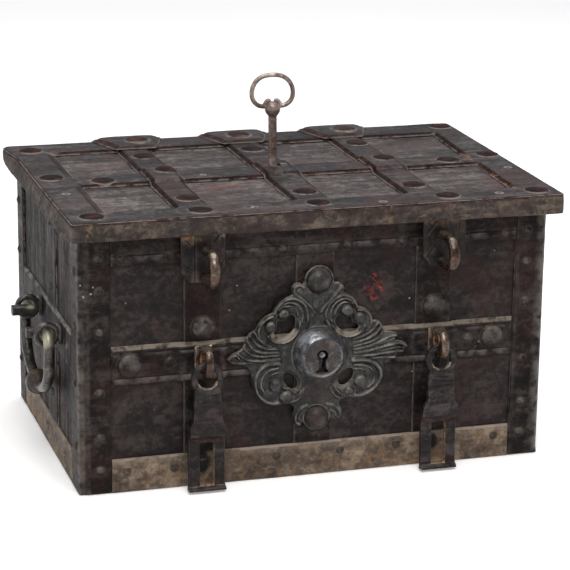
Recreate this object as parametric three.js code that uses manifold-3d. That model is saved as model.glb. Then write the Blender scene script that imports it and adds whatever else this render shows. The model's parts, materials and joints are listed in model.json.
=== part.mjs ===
// Iron strongbox with riveted straps, a drop-down pair of hasps, two drop handles,
// a blind keyhole escutcheon on the front and the working lock under the lid.
// Millimetres, +Z up, front of the chest towards -Y. Origin: centre of the underside
// (x and y taken at the middle of the lid), z = 0 on the floor.
import * as THREE from 'three';
import { mergeVertices } from 'three/addons/utils/BufferGeometryUtils.js';
import Module from 'manifold-3d';

const wasm = await Module();
wasm.setup();

// ---------------------------------------------------------------- dimensions
const PLATE = 3;                 // wall plate thickness
const STRAP = 3;                 // strap thickness on the walls
const BX = 221.5;                // half width of the body over the straps
const BYF = -134;                // front face of the corner angles
const BYB = 151;                 // back face of the corner angles
const BZ = 250.6;                // top edge of the wall plates
const WX = BX - STRAP;           // outer face of the side plates
const WYF = BYF + STRAP;         // outer face of the front plate
const WYB = BYB - STRAP;         // outer face of the back plate
const CORNER = 30.5;             // leg width of the corner angles
const RIM_Z0 = 241, RIM_Z1 = 244, RIM_X = 203, RIM_YF = -116, RIM_YB = 133;

const MID_Z0 = 101, MID_Z1 = 138;      // front middle strap
const BOT_Z1 = 32, TOP_Z0 = 212;       // bottom strap, top strap
const UPRIGHTS = [[-124.5, -90], [-20.5, 16], [94.5, 129]];
const SIDE_MID_Z0 = 109, SIDE_MID_Z1 = 145;
const SIDE_UP_Y0 = -34, SIDE_UP_Y1 = 6;

const LX = 230, LYF = -153, LYB = 153; // lid outline
const LID_Z0 = 251, LID_Z1 = 255;      // lid plate
const LID_STRAP = 3.4;                 // thickness of the straps on the lid
const LID_TOP = LID_Z1 + LID_STRAP;    // 258.4
const BAND_Z0 = 240.4, BAND_Z1 = 257;  // lower and upper edge of the lid's edge band
const CROSS = [[-128.5, -94.5], [-19, 18.5], [87, 123.5]];
const LMID_Y0 = -19.5, LMID_Y1 = 17.5;
const OPEN_X0 = -190.5, OPEN_Y0 = -115, OPEN_Y1 = 113;   // the lid's openwork inside its border
const OPEN_X1 = [191, 194.3, 199];     // its right side: at the front, along the middle strap, at the back

const HINGE_X = [-110, -1, 103];
const HINGE_Y = 158.8, HINGE_Z = 248, KNUCKLE_R = 5.3, PIN_R = 2.2;

const KEY_X = -2.5, KEY_Y = 4;         // axis of key and lock hub
const HUB_R = 17, CRANK_R = 9.2, BOLT_THROW = 13;
const LEVER_X = 69, LEVER_Y = 30, LEVER_ARM = 45;
const LEVER_HALF = Math.asin(BOLT_THROW / 2 / LEVER_ARM); // half swing of a lever
const FRONT_BOLT_X = 62, SIDE_BOLT_Y = LEVER_Y - LEVER_ARM;

const HASP_X = [-107.5, 114.5];
const HASP_PIVOT_Y = -150, HASP_PIVOT_Z = 120, HASP_HANG = THREE.MathUtils.degToRad(3);

const BAIL_X = 234.5, BAIL_Z = 131, BAIL_Y = -14, EYE_HALF = 45.5;

// ---------------------------------------------------------------- materials
const iron = (color, roughness, metalness = 0.85) =>
  new THREE.MeshStandardMaterial({ color, roughness, metalness });
const M = {
  wall: iron(0x37312f, 0.62), strap: iron(0x3c3836, 0.55), base: iron(0x4a4038, 0.65),
  lid: iron(0x4b4745, 0.5), lidEdge: iron(0x554b45, 0.62), worn: iron(0x5a4636, 0.35),
  relief: iron(0x3f4042, 0.42), lock: iron(0x58544e, 0.4), key: iron(0x5c5149, 0.4),
};

// ---------------------------------------------------------------- solid helpers
function solid(geometry) {
  const g = geometry.clone();
  for (const name of Object.keys(g.attributes)) if (name !== 'position') g.deleteAttribute(name);
  g.clearGroups();
  const m = mergeVertices(g, 1e-4);
  const p = m.attributes.position.array;
  const idx = m.index.array;
  const tri = [];
  let volume = 0;
  for (let i = 0; i < idx.length; i += 3) {
    const [a, b, c] = [idx[i], idx[i + 1], idx[i + 2]];
    if (a === b || b === c || a === c) continue;
    tri.push(a, b, c);
    const A = a * 3, B = b * 3, C = c * 3;
    volume += p[A] * (p[B + 1] * p[C + 2] - p[B + 2] * p[C + 1])
      - p[A + 1] * (p[B] * p[C + 2] - p[B + 2] * p[C])
      + p[A + 2] * (p[B] * p[C + 1] - p[B + 1] * p[C]);
  }
  if (volume < 0) for (let i = 0; i < tri.length; i += 3) [tri[i + 1], tri[i + 2]] = [tri[i + 2], tri[i + 1]];
  return new wasm.Manifold(new wasm.Mesh({
    numProp: 3, vertProperties: new Float32Array(p), triVerts: new Uint32Array(tri),
  }));
}
const join = (...parts) => parts.reduce((a, b) => a.add(b));
const cut = (a, ...tools) => tools.reduce((s, t) => s.subtract(t), a);

const box = (x0, x1, y0, y1, z0, z1) =>
  solid(new THREE.BoxGeometry(x1 - x0, y1 - y0, z1 - z0)
    .translate((x0 + x1) / 2, (y0 + y1) / 2, (z0 + z1) / 2));

function shapeOf(points, holes = []) {
  const s = new THREE.Shape(points.map(([a, b]) => new THREE.Vector2(a, b)));
  if (THREE.ShapeUtils.isClockWise(s.getPoints())) return shapeOf(points.slice().reverse(), holes);
  for (const h of holes) s.holes.push(new THREE.Path(h.map(([a, b]) => new THREE.Vector2(a, b))));
  return s;
}
const extrude = (points, depth, holes) =>
  new THREE.ExtrudeGeometry(shapeOf(points, holes), { depth, bevelEnabled: false, steps: 1 });
// outline in x,z swept along y; in y,z swept along x; in x,y swept along z
const prismXZ = (pts, y0, y1, holes) => solid(extrude(pts, y1 - y0, holes).rotateX(Math.PI / 2).translate(0, y1, 0));
const prismYZ = (pts, x0, x1, holes) => {
  const m = new THREE.Matrix4().makeBasis(new THREE.Vector3(0, 1, 0), new THREE.Vector3(0, 0, 1), new THREE.Vector3(1, 0, 0));
  return solid(extrude(pts, x1 - x0, holes).applyMatrix4(m).translate(x0, 0, 0));
};
const prismXY = (pts, z0, z1, holes) => solid(extrude(pts, z1 - z0, holes).translate(0, 0, z0));

const circle = (cx, cy, r, n = 16, a0 = 0) =>
  Array.from({ length: n }, (_, i) => {
    const a = a0 + (i / n) * Math.PI * 2;
    return [cx + r * Math.cos(a), cy + r * Math.sin(a)];
  });
const arc = (cx, cy, r, d0, d1, n) =>
  Array.from({ length: n + 1 }, (_, i) => {
    const a = THREE.MathUtils.degToRad(d0 + ((d1 - d0) * i) / n);
    return [cx + r * Math.cos(a), cy + r * Math.sin(a)];
  });
function lathe(profile, segments, dir, at) {
  const g = new THREE.LatheGeometry(profile.map(([r, h]) => new THREE.Vector2(r, h)), segments);
  g.applyQuaternion(new THREE.Quaternion().setFromUnitVectors(new THREE.Vector3(0, 1, 0), new THREE.Vector3(...dir)));
  return solid(g.translate(...at));
}
const rod = (r, a, b, n = 12) => {
  const A = new THREE.Vector3(...a), B = new THREE.Vector3(...b);
  const d = B.clone().sub(A), len = d.length();
  return lathe([[0, 0], [r, 0], [r, len], [0, len]], n, d.normalize().toArray(), a);
};
// rivet head: a flattened dome whose foot runs 0.5 mm into the strap below it
function rivet(r, h, dir, at, seg = 6, rings = 0) {
  if (rings === 0) return lathe([[0, -0.5], [r, -0.5], [0.62 * r, h], [0, h]], seg, dir, at);
  const p = [[0, -0.5], [r, -0.5], [r, 0.25 * h]];
  for (let i = 1; i <= rings; i++) {
    const a = (i / rings) * Math.PI / 2;
    p.push([i === rings ? 0 : r * Math.cos(a), 0.25 * h + 0.75 * h * Math.sin(a)]);
  }
  return lathe(p, seg, dir, at);
}
function tube(points, r, sides, steps) {
  const curve = new THREE.CatmullRomCurve3(points.map((p) => new THREE.Vector3(...p)), false, 'centripetal');
  const s = new THREE.Shape(circle(0, 0, r, sides, Math.PI / sides).map(([a, b]) => new THREE.Vector2(a, b)));
  return solid(new THREE.ExtrudeGeometry(s, { steps, bevelEnabled: false, extrudePath: curve }));
}

const strongbox = new THREE.Group();
strongbox.name = 'strongbox';
function node(name, manifold, material, parent = strongbox) {
  const mesh = manifold.getMesh();
  const g = new THREE.BufferGeometry();
  g.setAttribute('position', new THREE.BufferAttribute(new Float32Array(mesh.vertProperties), 3));
  g.setIndex(new THREE.BufferAttribute(new Uint32Array(mesh.triVerts), 1));
  const m = new THREE.Mesh(g, material);
  m.name = name;
  parent.add(m);
  return m;
}
function group(x, y, z, parent = strongbox) {
  const g = new THREE.Group();
  g.position.set(x, y, z);
  parent.add(g);
  return g;
}
const FRONT = [0, -1, 0], BACK = [0, 1, 0], LEFT = [-1, 0, 0], RIGHT = [1, 0, 0], UP = [0, 0, 1];

// ---------------------------------------------------------------- body plates
node('bottom_plate', box(-WX, WX, WYF, WYB, 0, PLATE), M.wall);
node('front_plate', box(-WX, WX, WYF, WYF + PLATE, PLATE, BZ), M.wall);
node('back_plate', box(-WX, WX, WYB - PLATE, WYB, PLATE, BZ), M.wall);
node('left_plate', box(-WX, -WX + PLATE, WYF + PLATE, WYB - PLATE, PLATE, BZ), M.wall);
node('right_plate', box(WX - PLATE, WX, WYF + PLATE, WYB - PLATE, PLATE, BZ), M.wall);
// flat frame riveted inside the mouth: the bolts shoot under it
node('rim_flange', cut(
  box(-WX + PLATE, WX - PLATE, WYF + PLATE, WYB - PLATE, RIM_Z0, RIM_Z1),
  box(-RIM_X, RIM_X, RIM_YF, RIM_YB, RIM_Z0 - 1, RIM_Z1 + 1)), M.strap);

// ---------------------------------------------------------------- corner angles
const CORNER_RIVETS_FRONT = [22.5, 53, 95.5, 152, 190, 220];
const CORNER_RIVETS_SIDE = [45, 104, 157, 207];
for (const [name, sx, sy] of [['front_left', -1, -1], ['front_right', 1, -1], ['back_left', -1, 1], ['back_right', 1, 1]]) {
  const yo = sy < 0 ? BYF : BYB, yi = yo - sy * STRAP, ye = yo - sy * CORNER;
  const pts = [[sx * BX, yo], [sx * (BX - CORNER), yo], [sx * (BX - CORNER), yi], [sx * WX, yi], [sx * WX, ye], [sx * BX, ye]];
  let s = prismXY(pts, 0, 250);
  for (const z of CORNER_RIVETS_FRONT) s = s.add(rivet(4, 2.2, [0, sy, 0], [sx * 202, yo, z]));
  for (const z of CORNER_RIVETS_SIDE) s = s.add(rivet(4, 2.2, [sx, 0, 0], [sx * BX, yo - sy * 12, z]));
  node(`corner_angle_${name}`, s, M.strap);
}

// ---------------------------------------------------------------- straps of the body
const SX = BX - CORNER;                       // straps butt against the corner angles
const upY = WYF - 2.4;                        // face of the front uprights
let s = box(-SX, SX, WYF - 3.4, WYF, TOP_Z0, 248);
for (const x of [-182, -137.5, -34, 26.5, 80, 140, 179]) s = s.add(rivet(4, 2.2, FRONT, [x, WYF - 3.4, 218.5]));
node('front_top_strap', s, M.strap);

s = box(-SX, SX, WYF - 4.6, WYF, MID_Z0, MID_Z1);
for (const [a, b] of UPRIGHTS) s = s.subtract(box(a - 0.1, b + 0.1, upY - 0.1, WYF + 1, MID_Z0 - 1, MID_Z1 + 1));
for (const x of [-174.8, 170.2]) s = s.add(rivet(11.2, 6.5, FRONT, [x, WYF - 4.6, 120.5], 12, 2));
for (const x of [-137.5, 145.8]) s = s.add(rivet(4, 2.2, FRONT, [x, WYF - 4.6, 120.5]));
node('front_middle_strap', s, M.strap);

s = box(-SX, SX, WYF - 3.4, WYF, 0, BOT_Z1);
for (const [x, z] of [[-177.6, 20.2], [-133.6, 19.5], [-36.9, 22], [24.1, 22], [79.2, 22.5], [176, 22.5]]) s = s.add(rivet(4, 2.2, FRONT, [x, WYF - 3.4, z]));
node('front_bottom_strap', s, M.base);

UPRIGHTS.forEach(([a, b], i) => {
  let u = box(a, b, upY, WYF, BOT_Z1, TOP_Z0);
  if (i === 0) u = u.add(rivet(11.2, 7, FRONT, [-107, upY, 150], 12, 2));
  if (i === 2) u = u.add(rivet(11.2, 6.5, FRONT, [112, upY, 154], 12, 2));
  if (i === 1) u = u.add(rivet(4, 2, FRONT, [0.5, upY, 39]));
  node(`front_upright_${['left', 'centre', 'right'][i]}`, u, M.strap);
});

for (const [side, sx] of [['left', -1], ['right', 1]]) {
  const xs = (a, b) => (sx < 0 ? [-b, -a] : [a, b]);
  const y0 = BYF + CORNER, y1 = BYB - CORNER;
  let m = box(...xs(WX, BX), y0, y1, SIDE_MID_Z0, SIDE_MID_Z1);
  m = m.add(box(...xs(WX, BX - 0.6), SIDE_UP_Y0, SIDE_UP_Y1, BOT_Z1 + 0.2, 248));
  for (const [y, z] of [[-14, 163], [-14, 225], [-14, 60]]) m = m.add(rivet(4, 2.2, [sx, 0, 0], [sx * (BX - 0.6), y, z]));
  for (const y of [-90, 80]) m = m.add(rivet(4, 2.2, [sx, 0, 0], [sx * BX, y, 127]));
  node(`${side}_cross_strap`, m, M.strap);
  let b = box(...xs(WX, BX), y0, y1, 0, BOT_Z1);
  for (const y of [-70, 10, 90]) b = b.add(rivet(4, 2.2, [sx, 0, 0], [sx * BX, y, 18]));
  node(`${side}_bottom_strap`, b, M.base);
}
s = box(-SX, SX, WYB, BYB, 0, BOT_Z1);
for (const x of [-165, -60, 50, 160]) s = s.add(rivet(4, 2.2, BACK, [x, BYB, 18]));
node('back_bottom_strap', s, M.base);

// ---------------------------------------------------------------- lid
const lid = group(0, 0, 0);
const backCorner = (x, y, r) => arc(x - r, y - r, r, 0, 90, 4);
const keyhole = join(
  prismXY(circle(KEY_X, KEY_Y, 4.8, 16), LID_Z0 - 4, LID_TOP + 6),
  box(KEY_X, KEY_X + 13.3, KEY_Y - 2.1, KEY_Y + 2.1, LID_Z0 - 4, LID_TOP + 6));
node('lid_plate', cut(prismXY([
  [-LX + 5, LYF + 5], [LX - 5, LYF + 5], ...backCorner(LX - 5, LYB, 4), [-226, LYB], [-229.4, 150.5], [-229.2, 141], [-LX + 5, 107],
], LID_Z0, LID_Z1), keyhole), M.lid, lid);

// edge band: the left side splays outwards, its foot along the whole side and its back end altogether
const sideBar = [[LYF, BAND_Z0], [-125, BAND_Z0], [119, BAND_Z0], [130, 241], [138, 242.4], [143, 245.2], [146, 249.4], [146.8, 253.2], [147, BAND_Z1], [141.6, BAND_Z1], [105, BAND_Z1], [-125, BAND_Z1], [LYF, BAND_Z1]];
const unit = (a, b, v) => THREE.MathUtils.clamp((v - a) / (b - a), 0, 1);
const splay = (y, z) => {
  const low = unit(255, BAND_Z0, z), back = unit(105, 141.6, y);
  return 5 * low * unit(-153, -125, y) + (5.6 - 5 * low) * back;
};
const leftBar = prismYZ(sideBar, -LX, -LX + 5).warp((v) => { v[0] -= splay(v[1], v[2]); });
const frontBar = prismXZ([[-LX + 4, BAND_Z0], [0, 239.4], [LX - 4, 238.6], [LX - 4, BAND_Z1], [-LX + 4, BAND_Z1]], LYF, LYF + 5);
node('lid_edge_band', join(leftBar, prismYZ([[LYF, 238.6], ...sideBar.slice(1)], LX - 5, LX), frontBar), M.lidEdge, lid);

// border strap, its edge thinned where it covers the band
const opening = [[[OPEN_X0, OPEN_Y0], [OPEN_X0, OPEN_Y1], [OPEN_X1[2], OPEN_Y1], [OPEN_X1[1], LMID_Y1], [OPEN_X1[1], LMID_Y0], [OPEN_X1[0], OPEN_Y0]]];
s = join(
  prismXY([
    [-LX + 5.3, LYF + 5.3], [LX - 5.3, LYF + 5.3], ...backCorner(LX - 5.3, LYB, 4), [-226, LYB], [-229.2, 150.5], [-229, 141], [-LX + 5.3, 107],
  ], LID_Z1, LID_TOP, opening),
  prismXY([
    [-LX + 0.6, LYF + 0.8], [LX - 0.6, LYF + 0.8], ...backCorner(LX - 0.6, LYB, 6), [-227, LYB], [-231.5, 151.6], [-234.6, 147], [-235, 141], [-LX + 0.6, 105],
  ], BAND_Z1, LID_TOP, opening));
for (const [x, y] of [[-211, 127], [-213, 15], [-207, -131], [216, 138], [217, 10], [209, -134], [-109, -131], [0, -130.5], [122, -134]]) s = s.add(rivet(11, 1.8, UP, [x, y, LID_TOP], 10));
node('lid_border_strap', s, M.lid, lid);

CROSS.forEach(([a, b], i) => {
  const z0 = LID_Z1, z1 = LID_TOP, z2 = LID_TOP + LID_STRAP;
  const y0 = LMID_Y0, y1 = LMID_Y1;
  let c = prismYZ([
    [OPEN_Y0, z0], [y0 - 0.2, z0], [y0 - 0.2, z1 + 0.1], [y1 + 0.2, z1 + 0.1], [y1 + 0.2, z0], [OPEN_Y1, z0],
    [OPEN_Y1, z1], [y1 + 5, z1], [y1 + 2.5, z2], [y0 - 2.5, z2], [y0 - 5, z1], [OPEN_Y0, z1],
  ], a, b);
  const rv = [[[-109, 80, z1], [-105, 9, z2], [-109, -87, z1]], [[0, 84, z1], [0, -89, z1]], [[109, 86, z1], [110, 8, z2], [106, -88, z1]]][i];
  for (const p of rv) c = c.add(rivet(11, 1.8, UP, p, 10));
  if (i === 1) c = c.subtract(keyhole);
  node(`lid_cross_strap_${['left', 'centre', 'right'][i]}`, c, M.lid, lid);
});
s = cut(box(OPEN_X0, OPEN_X1[1], LMID_Y0, LMID_Y1, LID_Z1, LID_TOP), keyhole);
for (const [x, y] of [[-169, -6.5], [172, -3]]) s = s.add(rivet(11, 1.8, UP, [x, y, LID_TOP], 10));
node('lid_middle_strap', s, M.lid, lid);

// ---------------------------------------------------------------- hinges
HINGE_X.forEach((hx, i) => {
  const n = ['left', 'centre', 'right'][i];
  const g = group(hx, HINGE_Y, HINGE_Z);
  // local frame: hinge axis along x through the group origin
  const yw = WYB - HINGE_Y;                    // back face of the back plate
  const ring = (x0, x1) => prismYZ(circle(0, 0, KNUCKLE_R, 10), x0, x1);
  const hole = (x0, x1) => prismYZ(circle(0, 0, PIN_R + 0.35, 8), x0, x1);
  // lower leaf, riveted to the back plate, two outer knuckles
  let leaf = prismXZ([[-15, -172], [0, -180], [15, -172], [20, -120], [20, -2], [-20, -2], [-20, -120]], yw, yw + 3.2);
  for (const [a, b] of [[-30, -12.3], [12.3, 30]]) {
    leaf = join(leaf, prismYZ([[yw, -6], [yw, -1.5], [-2, -1.5], [0, 0], [1, -4.6], [-3, -5.2]], a, b), ring(a, b));
  }
  leaf = join(leaf, box(-30, 30, yw, yw + 3.2, -16, -2));
  leaf = cut(leaf, hole(-31, 31));
  leaf = leaf.subtract(box(-12.3, 12.3, yw + 3.3, 8, -7, 7));
  for (const z of [-30, -90, -150]) leaf = leaf.add(rivet(6.5, 3, BACK, [0, yw + 3.2, z], 8));
  node(`hinge_lower_leaf_${n}`, leaf, M.strap, g);
  node(`hinge_pin_${n}`, rod(PIN_R, [-32.5, 0, 0], [32.5, 0, 0], 8), M.lock, g);
  // upper leaf, flared on the lid's back edge, one middle knuckle
  const gl = group(hx, HINGE_Y, HINGE_Z, lid);
  const zt = LID_TOP - HINGE_Z, yb = LYB - HINGE_Y;
  let up = prismXY([[-19.5, 109.5 - HINGE_Y], [19.5, 109.5 - HINGE_Y], [22, 113 - HINGE_Y], [35, yb - 4], [35, yb + 4.3], [-35, yb + 4.3], [-35, yb - 4], [-22, 113 - HINGE_Y]], zt, zt + 4);
  up = up.add(box(-35, 35, yb + 0.3, yb + 4.3, 6.6, zt + 1));
  up = join(up, box(-12, 12, yb + 0.3, yb + 4.3, 0, 7), ring(-12, 12));
  up = cut(up, hole(-13, 13));
  up = up.add(rivet(11.5, 2.4, UP, [[6, 1, 7][i], 133 - HINGE_Y, zt + 4], 12));
  node(`hinge_upper_leaf_${n}`, up, M.lid, gl);
});

// ---------------------------------------------------------------- hasps and their staples
HASP_X.forEach((hx, i) => {
  const n = ['left', 'right'][i];
  // ring staple through the front middle strap
  const g = group(hx, 0, 0);
  const face = WYF - 4.6 - 0.1;
  let st = prismYZ(circle(-148.5, 122.5, 15.5, 20), -4, 4, [circle(-148.5, 122.5, 8.8, 16)]);
  st = st.subtract(box(-6, 6, face, -120, 100, 145));
  st = st.add(box(-8, 8, face - 2.2, face, 110, 135));
  node(`hasp_staple_${n}`, st, M.worn, g);
  // hasp, hung on the staple; drawn hanging plumb about its own pivot, then let out
  const h = group(hx, HASP_PIVOT_Y, HASP_PIVOT_Z);
  h.rotation.x = -HASP_HANG;
  const eye = [...arc(0, -12, 15.4, -40, 220, 14)];
  let up = prismXZ([...eye, [-13.3, -46], [-14.5, -58], [-17, -66], [17, -66], [14.5, -58], [13.3, -46]], -3, 3, [circle(0, -12, 8.6, 16)]);
  let low = prismXZ([
    [-17, -62], [-17.2, -112], [-18, -119], [-12, -117.4], [-6, -118.8], [0, -117.4], [6, -118.8], [12, -117.4], [18, -119], [17.2, -112], [17, -62],
  ], 4, 9, [[[-6.3, -73.5], [-6.3, -113], [6.3, -113], [6.3, -73.5]]]);
  const jog = prismYZ([[-3, -58], [3, -58], [9, -63], [9, -70], [4, -70], [-3, -66]], -17, 17);
  const lip = prismYZ([[5, -113.4], [-0.5, -116.4], [-0.5, -117.4], [5, -117.4]], -17, 17);
  node(`hasp_${n}`, join(up, low, jog, lip), M.worn, h);
  // upper staple: plate inside the lid's front band, with the loop standing forward
  const px = [-110, 116][i] - hx;
  const gl = group(hx, 0, 0, lid);
  let plate = prismXZ([[px - 20.5, 250.5], [px - 20.5, 206], [px - 13, 195.5], [px + 13, 195.5], [px + 20.5, 206], [px + 20.5, 250.5]], -147, -143.5);
  const outer = [[-146, 195.2], [-163.5, 195.2], ...arc(-163.5, 212.7, 17.5, -90, -270, 10).slice(1), [-146, 230.2]];
  const inner = [[-150, 204.7], [-163.5, 204.7], ...arc(-163.5, 212.7, 8, -90, -270, 8).slice(1), [-150, 220.7]];
  plate = plate.add(prismYZ(outer, -5.2, 5.2, [inner]));
  node(`upper_staple_${n}`, plate, M.worn, gl);
});

// ---------------------------------------------------------------- drop handles
for (const [side, turn] of [['left', 0], ['right', Math.PI]]) {
  const g = group(0, BAIL_Y, 0);
  g.rotation.z = turn;                          // the right side is the left one turned half round
  for (const [end, y] of [['a', -EYE_HALF], ['b', EYE_HALF]]) {
    const front = (end === 'a') === (turn === 0);
    let e = prismXZ(circle(-BAIL_X, BAIL_Z, 12.2, 18), y - 3.5, y + 3.5, [circle(-BAIL_X, BAIL_Z, 6.8, 14)]);
    e = e.add(box(-224.6, -BX - 0.2, y - 5, y + 5, BAIL_Z - 9, BAIL_Z + 9));
    e = e.subtract(box(-BX - 0.2, -200, y - 20, y + 20, 100, 160));
    node(`${side}_handle_eye_${front ? 'front' : 'back'}`, e, M.worn, g);
  }
  // bail: each end passes inwards through its eye and turns outwards as a stub
  const half = [[EYE_HALF - 10, 131], [EYE_HALF, 131], [EYE_HALF + 7, 130.5], [EYE_HALF + 11, 124], [EYE_HALF + 11.5, 106], [EYE_HALF + 2, 86], [24, 73.5]];
  const path = [...half.map(([y, z]) => [-BAIL_X, y, z]), [-BAIL_X, 0, 70.5], ...half.slice().reverse().map(([y, z]) => [-BAIL_X, -y, z])];
  let bail = tube(path, 5.3, 8, 26);
  for (const y of [EYE_HALF - 10, -EYE_HALF + 10]) bail = bail.add(rod(5.2, [-BAIL_X + 4.5, y, BAIL_Z], [-BAIL_X - 17, y, BAIL_Z], 10));
  const knob = lathe([[0, -12], [6, -11], [10.3, -6.5], [11.8, 0], [10.3, 6.5], [6, 11], [0, 12]], 12, [0, 1, 0], [-BAIL_X, 0, 71]);
  node(`${side}_handle`, bail.add(knob), M.worn, g);
}

// ---------------------------------------------------------------- front escutcheon
const ez = 119;
const half = [                                    // right half of the relief's outline
  [0, 203], [7, 202], [12, 197], [14, 190], [19, 189], [22, 184], [20, 178], [25, 175], [33, 173], [38, 166],
  [38, 160], [45, 159], [51, 152], [53, 145], [60, 144], [66, 138], [68, 131], [76, 129], [86, 121],
  [80, 116], [71, 112], [62, 106], [61, 97], [56, 88], [47, 79], [37, 76], [28, 78],
  [26, 70], [24, 62], [18, 58], [13, 60], [11, 50], [6, 46.5], [0, 45],
];
const outline = [...half.slice().reverse(), ...half.slice(1, -1).map(([x, z]) => [-x, z])];
const eyeHole = (x, z, rx, rz, t) => circle(0, 0, 1, 10).map(([a, b]) => {
  const u = a * rx, v = b * rz, c = Math.cos(t), d = Math.sin(t);
  return [x + u * c - v * d, z + u * d + v * c];
});
const escFace = WYF - 4.7;                        // back of the relief, clear of the middle strap
let esc = prismXZ(outline, escFace - 4, escFace, [
  eyeHole(-30.6, 145.6, 10.2, 6.6, 0.8), eyeHole(27.2, 144.6, 10.2, 6.6, -0.5), eyeHole(-26, 94.2, 8.2, 5.2, -0.93), eyeHole(27.5, 94, 8.4, 5.4, 0.87)]);
esc = join(esc, rivet(12.2, 8.5, FRONT, [0, escFace - 4, 188], 12, 2), rivet(11, 8, FRONT, [-0.5, escFace - 4, 56.5], 12, 2));
for (const [x, z] of [[-45, 147], [-33, 158], [27, 157.4], [38.8, 149.2], [-40, 91], [-30.3, 79.8], [41.2, 89], [30.6, 79.6]]) esc = esc.add(rivet(4.6, 5, FRONT, [x, escFace - 4, z], 6));
node('escutcheon', esc, M.relief);
// domed boss with the blind keyhole and its pin
const bossBack = escFace - 4 - 0.05;
let boss = lathe([[0, 0], [25.5, 0], [25.5, 1], [24.5, 4], [22.5, 8], [20, 11.5], [18, 13.5], [16.8, 12.6], [0, 12.6]], 20, FRONT, [0.5, bossBack, ez]);
const hz = ez + 1.5, hx0 = 0;
boss = boss.subtract(join(
  prismXZ(circle(hx0, hz, 5.3, 16), bossBack - 20, bossBack - 2.5),
  prismXZ([[hx0 - 3, hz], [hx0 - 3, hz - 12], [hx0 - 6.8, hz - 15.8], [hx0 + 6.8, hz - 15.8], [hx0 + 3, hz - 12], [hx0 + 3, hz]], bossBack - 20, bossBack - 2.5)));
boss = boss.add(prismXZ(circle(hx0, hz + 0.4, 3.2, 12), bossBack - 11.2, bossBack - 2));
node('escutcheon_boss', boss, M.relief);

// ---------------------------------------------------------------- lock under the lid
const crankAt = THREE.MathUtils.degToRad(45);
const LZ = { plate0: 249, plate1: LID_Z0, hub0: 238, hub1: 250.6, slide0: 234.4, slide1: 237.4, lever0: 238, lever1: 242, guide0: 231.6, guide1: 234.1 };
const guide = (x0, x1, y0, y1) => box(x0, x1, y0, y1, LZ.guide0, LZ.plate0 + 0.5);
const slot = (x0, x1, y0, y1) => box(x0, x1, y0, y1, LZ.guide1, LZ.plate0);
let lp = join(
  box(-96, 96, -106, 78, LZ.plate0, LZ.plate1), box(-196, -90, -28, -2, LZ.plate0, LZ.plate1), box(90, 196, -28, -2, LZ.plate0, LZ.plate1),
  guide(-13, 13, 60, 70), guide(-72, -52, -105, -95), guide(52, 72, -105, -95),
  guide(-130, -118, -25.4, -4.6), guide(118, 130, -25.4, -4.6), guide(-195, -186, -25.4, -4.6), guide(186, 195, -25.4, -4.6));
lp = cut(lp,
  slot(-9.4, 9.4, 59, 71), slot(-68.4, -55.6, -106, -94), slot(55.6, 68.4, -106, -94),
  slot(-131, -117, SIDE_BOLT_Y - 6.4, SIDE_BOLT_Y + 6.4), slot(117, 131, SIDE_BOLT_Y - 6.4, SIDE_BOLT_Y + 6.4),
  slot(-196, -185, SIDE_BOLT_Y - 6.4, SIDE_BOLT_Y + 6.4), slot(185, 196, SIDE_BOLT_Y - 6.4, SIDE_BOLT_Y + 6.4),
  prismXY(circle(KEY_X, KEY_Y, HUB_R + 0.5, 28), LZ.plate0 - 1, LZ.plate1 + 1));
for (const sx of [-1, 1]) {
  lp = join(lp,
    prismXY(circle(sx * LEVER_X, LEVER_Y, 7.5, 12), LZ.lever1 + 0.4, LZ.plate0 + 0.5),
    prismXY(circle(sx * LEVER_X, LEVER_Y, 4, 12), 236, LZ.plate0),
    prismXY(circle(sx * LEVER_X, LEVER_Y, 6.5, 12), 235.6, LZ.lever0 - 0.4));
}
node('lock_plate', lp, M.lock, lid);

const hub = group(KEY_X, KEY_Y, 0, lid);
let hb = prismXY(circle(0, 0, HUB_R, 28), LZ.hub0, LZ.hub1);
hb = cut(hb, prismXY(circle(0, 0, 4.3, 14), LZ.hub0 - 1, LZ.hub1 + 1), box(0, 13.3, -2.1, 2.1, LZ.hub0 - 1, LZ.hub1 + 1));
hb = hb.add(prismXY(circle(CRANK_R * Math.cos(crankAt), CRANK_R * Math.sin(crankAt), 2.5, 12), LZ.slide0, LZ.hub0 + 0.5));
node('lock_hub', hb, M.lock, hub);

// main slide: stem under the hub, cross bar and two front bolts (bolts drawn in)
const pinY = LEVER_Y + BOLT_THROW / 2;            // lever pins on the slide, at rest
let sl = join(
  box(-9, 9, -70, 88, LZ.slide0, LZ.slide1),
  box(-13, 20, -8, 24, LZ.slide0, LZ.slide1),
  box(-30, 30, pinY - 6, pinY + 6, LZ.slide0, LZ.slide1),
  box(-68, 68, -78, -66, LZ.slide0, LZ.slide1));
for (const sx of [-1, 1]) {
  sl = join(sl,
    box(sx * FRONT_BOLT_X - 6, sx * FRONT_BOLT_X + 6, -113, -66, LZ.slide0, LZ.slide1),
    box(sx * FRONT_BOLT_X - 6, sx * FRONT_BOLT_X + 6, -113, -99.5, LZ.slide0, LZ.slide1 + 2),
    prismXY(circle(sx * (LEVER_X - LEVER_ARM), pinY, 3, 12), LZ.slide1 - 0.5, LZ.lever1 + 0.3));
}
const cy = CRANK_R * Math.sin(crankAt) + KEY_Y, cx = KEY_X;
sl = cut(sl,
  box(cx + 3.2, cx + 12.6, cy - 3.05, cy + 3.05, LZ.slide0 - 1, LZ.slide1 + 1),
  box(-5, 5, -60, -14, LZ.slide0 - 1, LZ.slide1 + 1), box(-5, 5, 46, 82, LZ.slide0 - 1, LZ.slide1 + 1));
node('lock_slide', sl, M.lock, lid);

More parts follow.
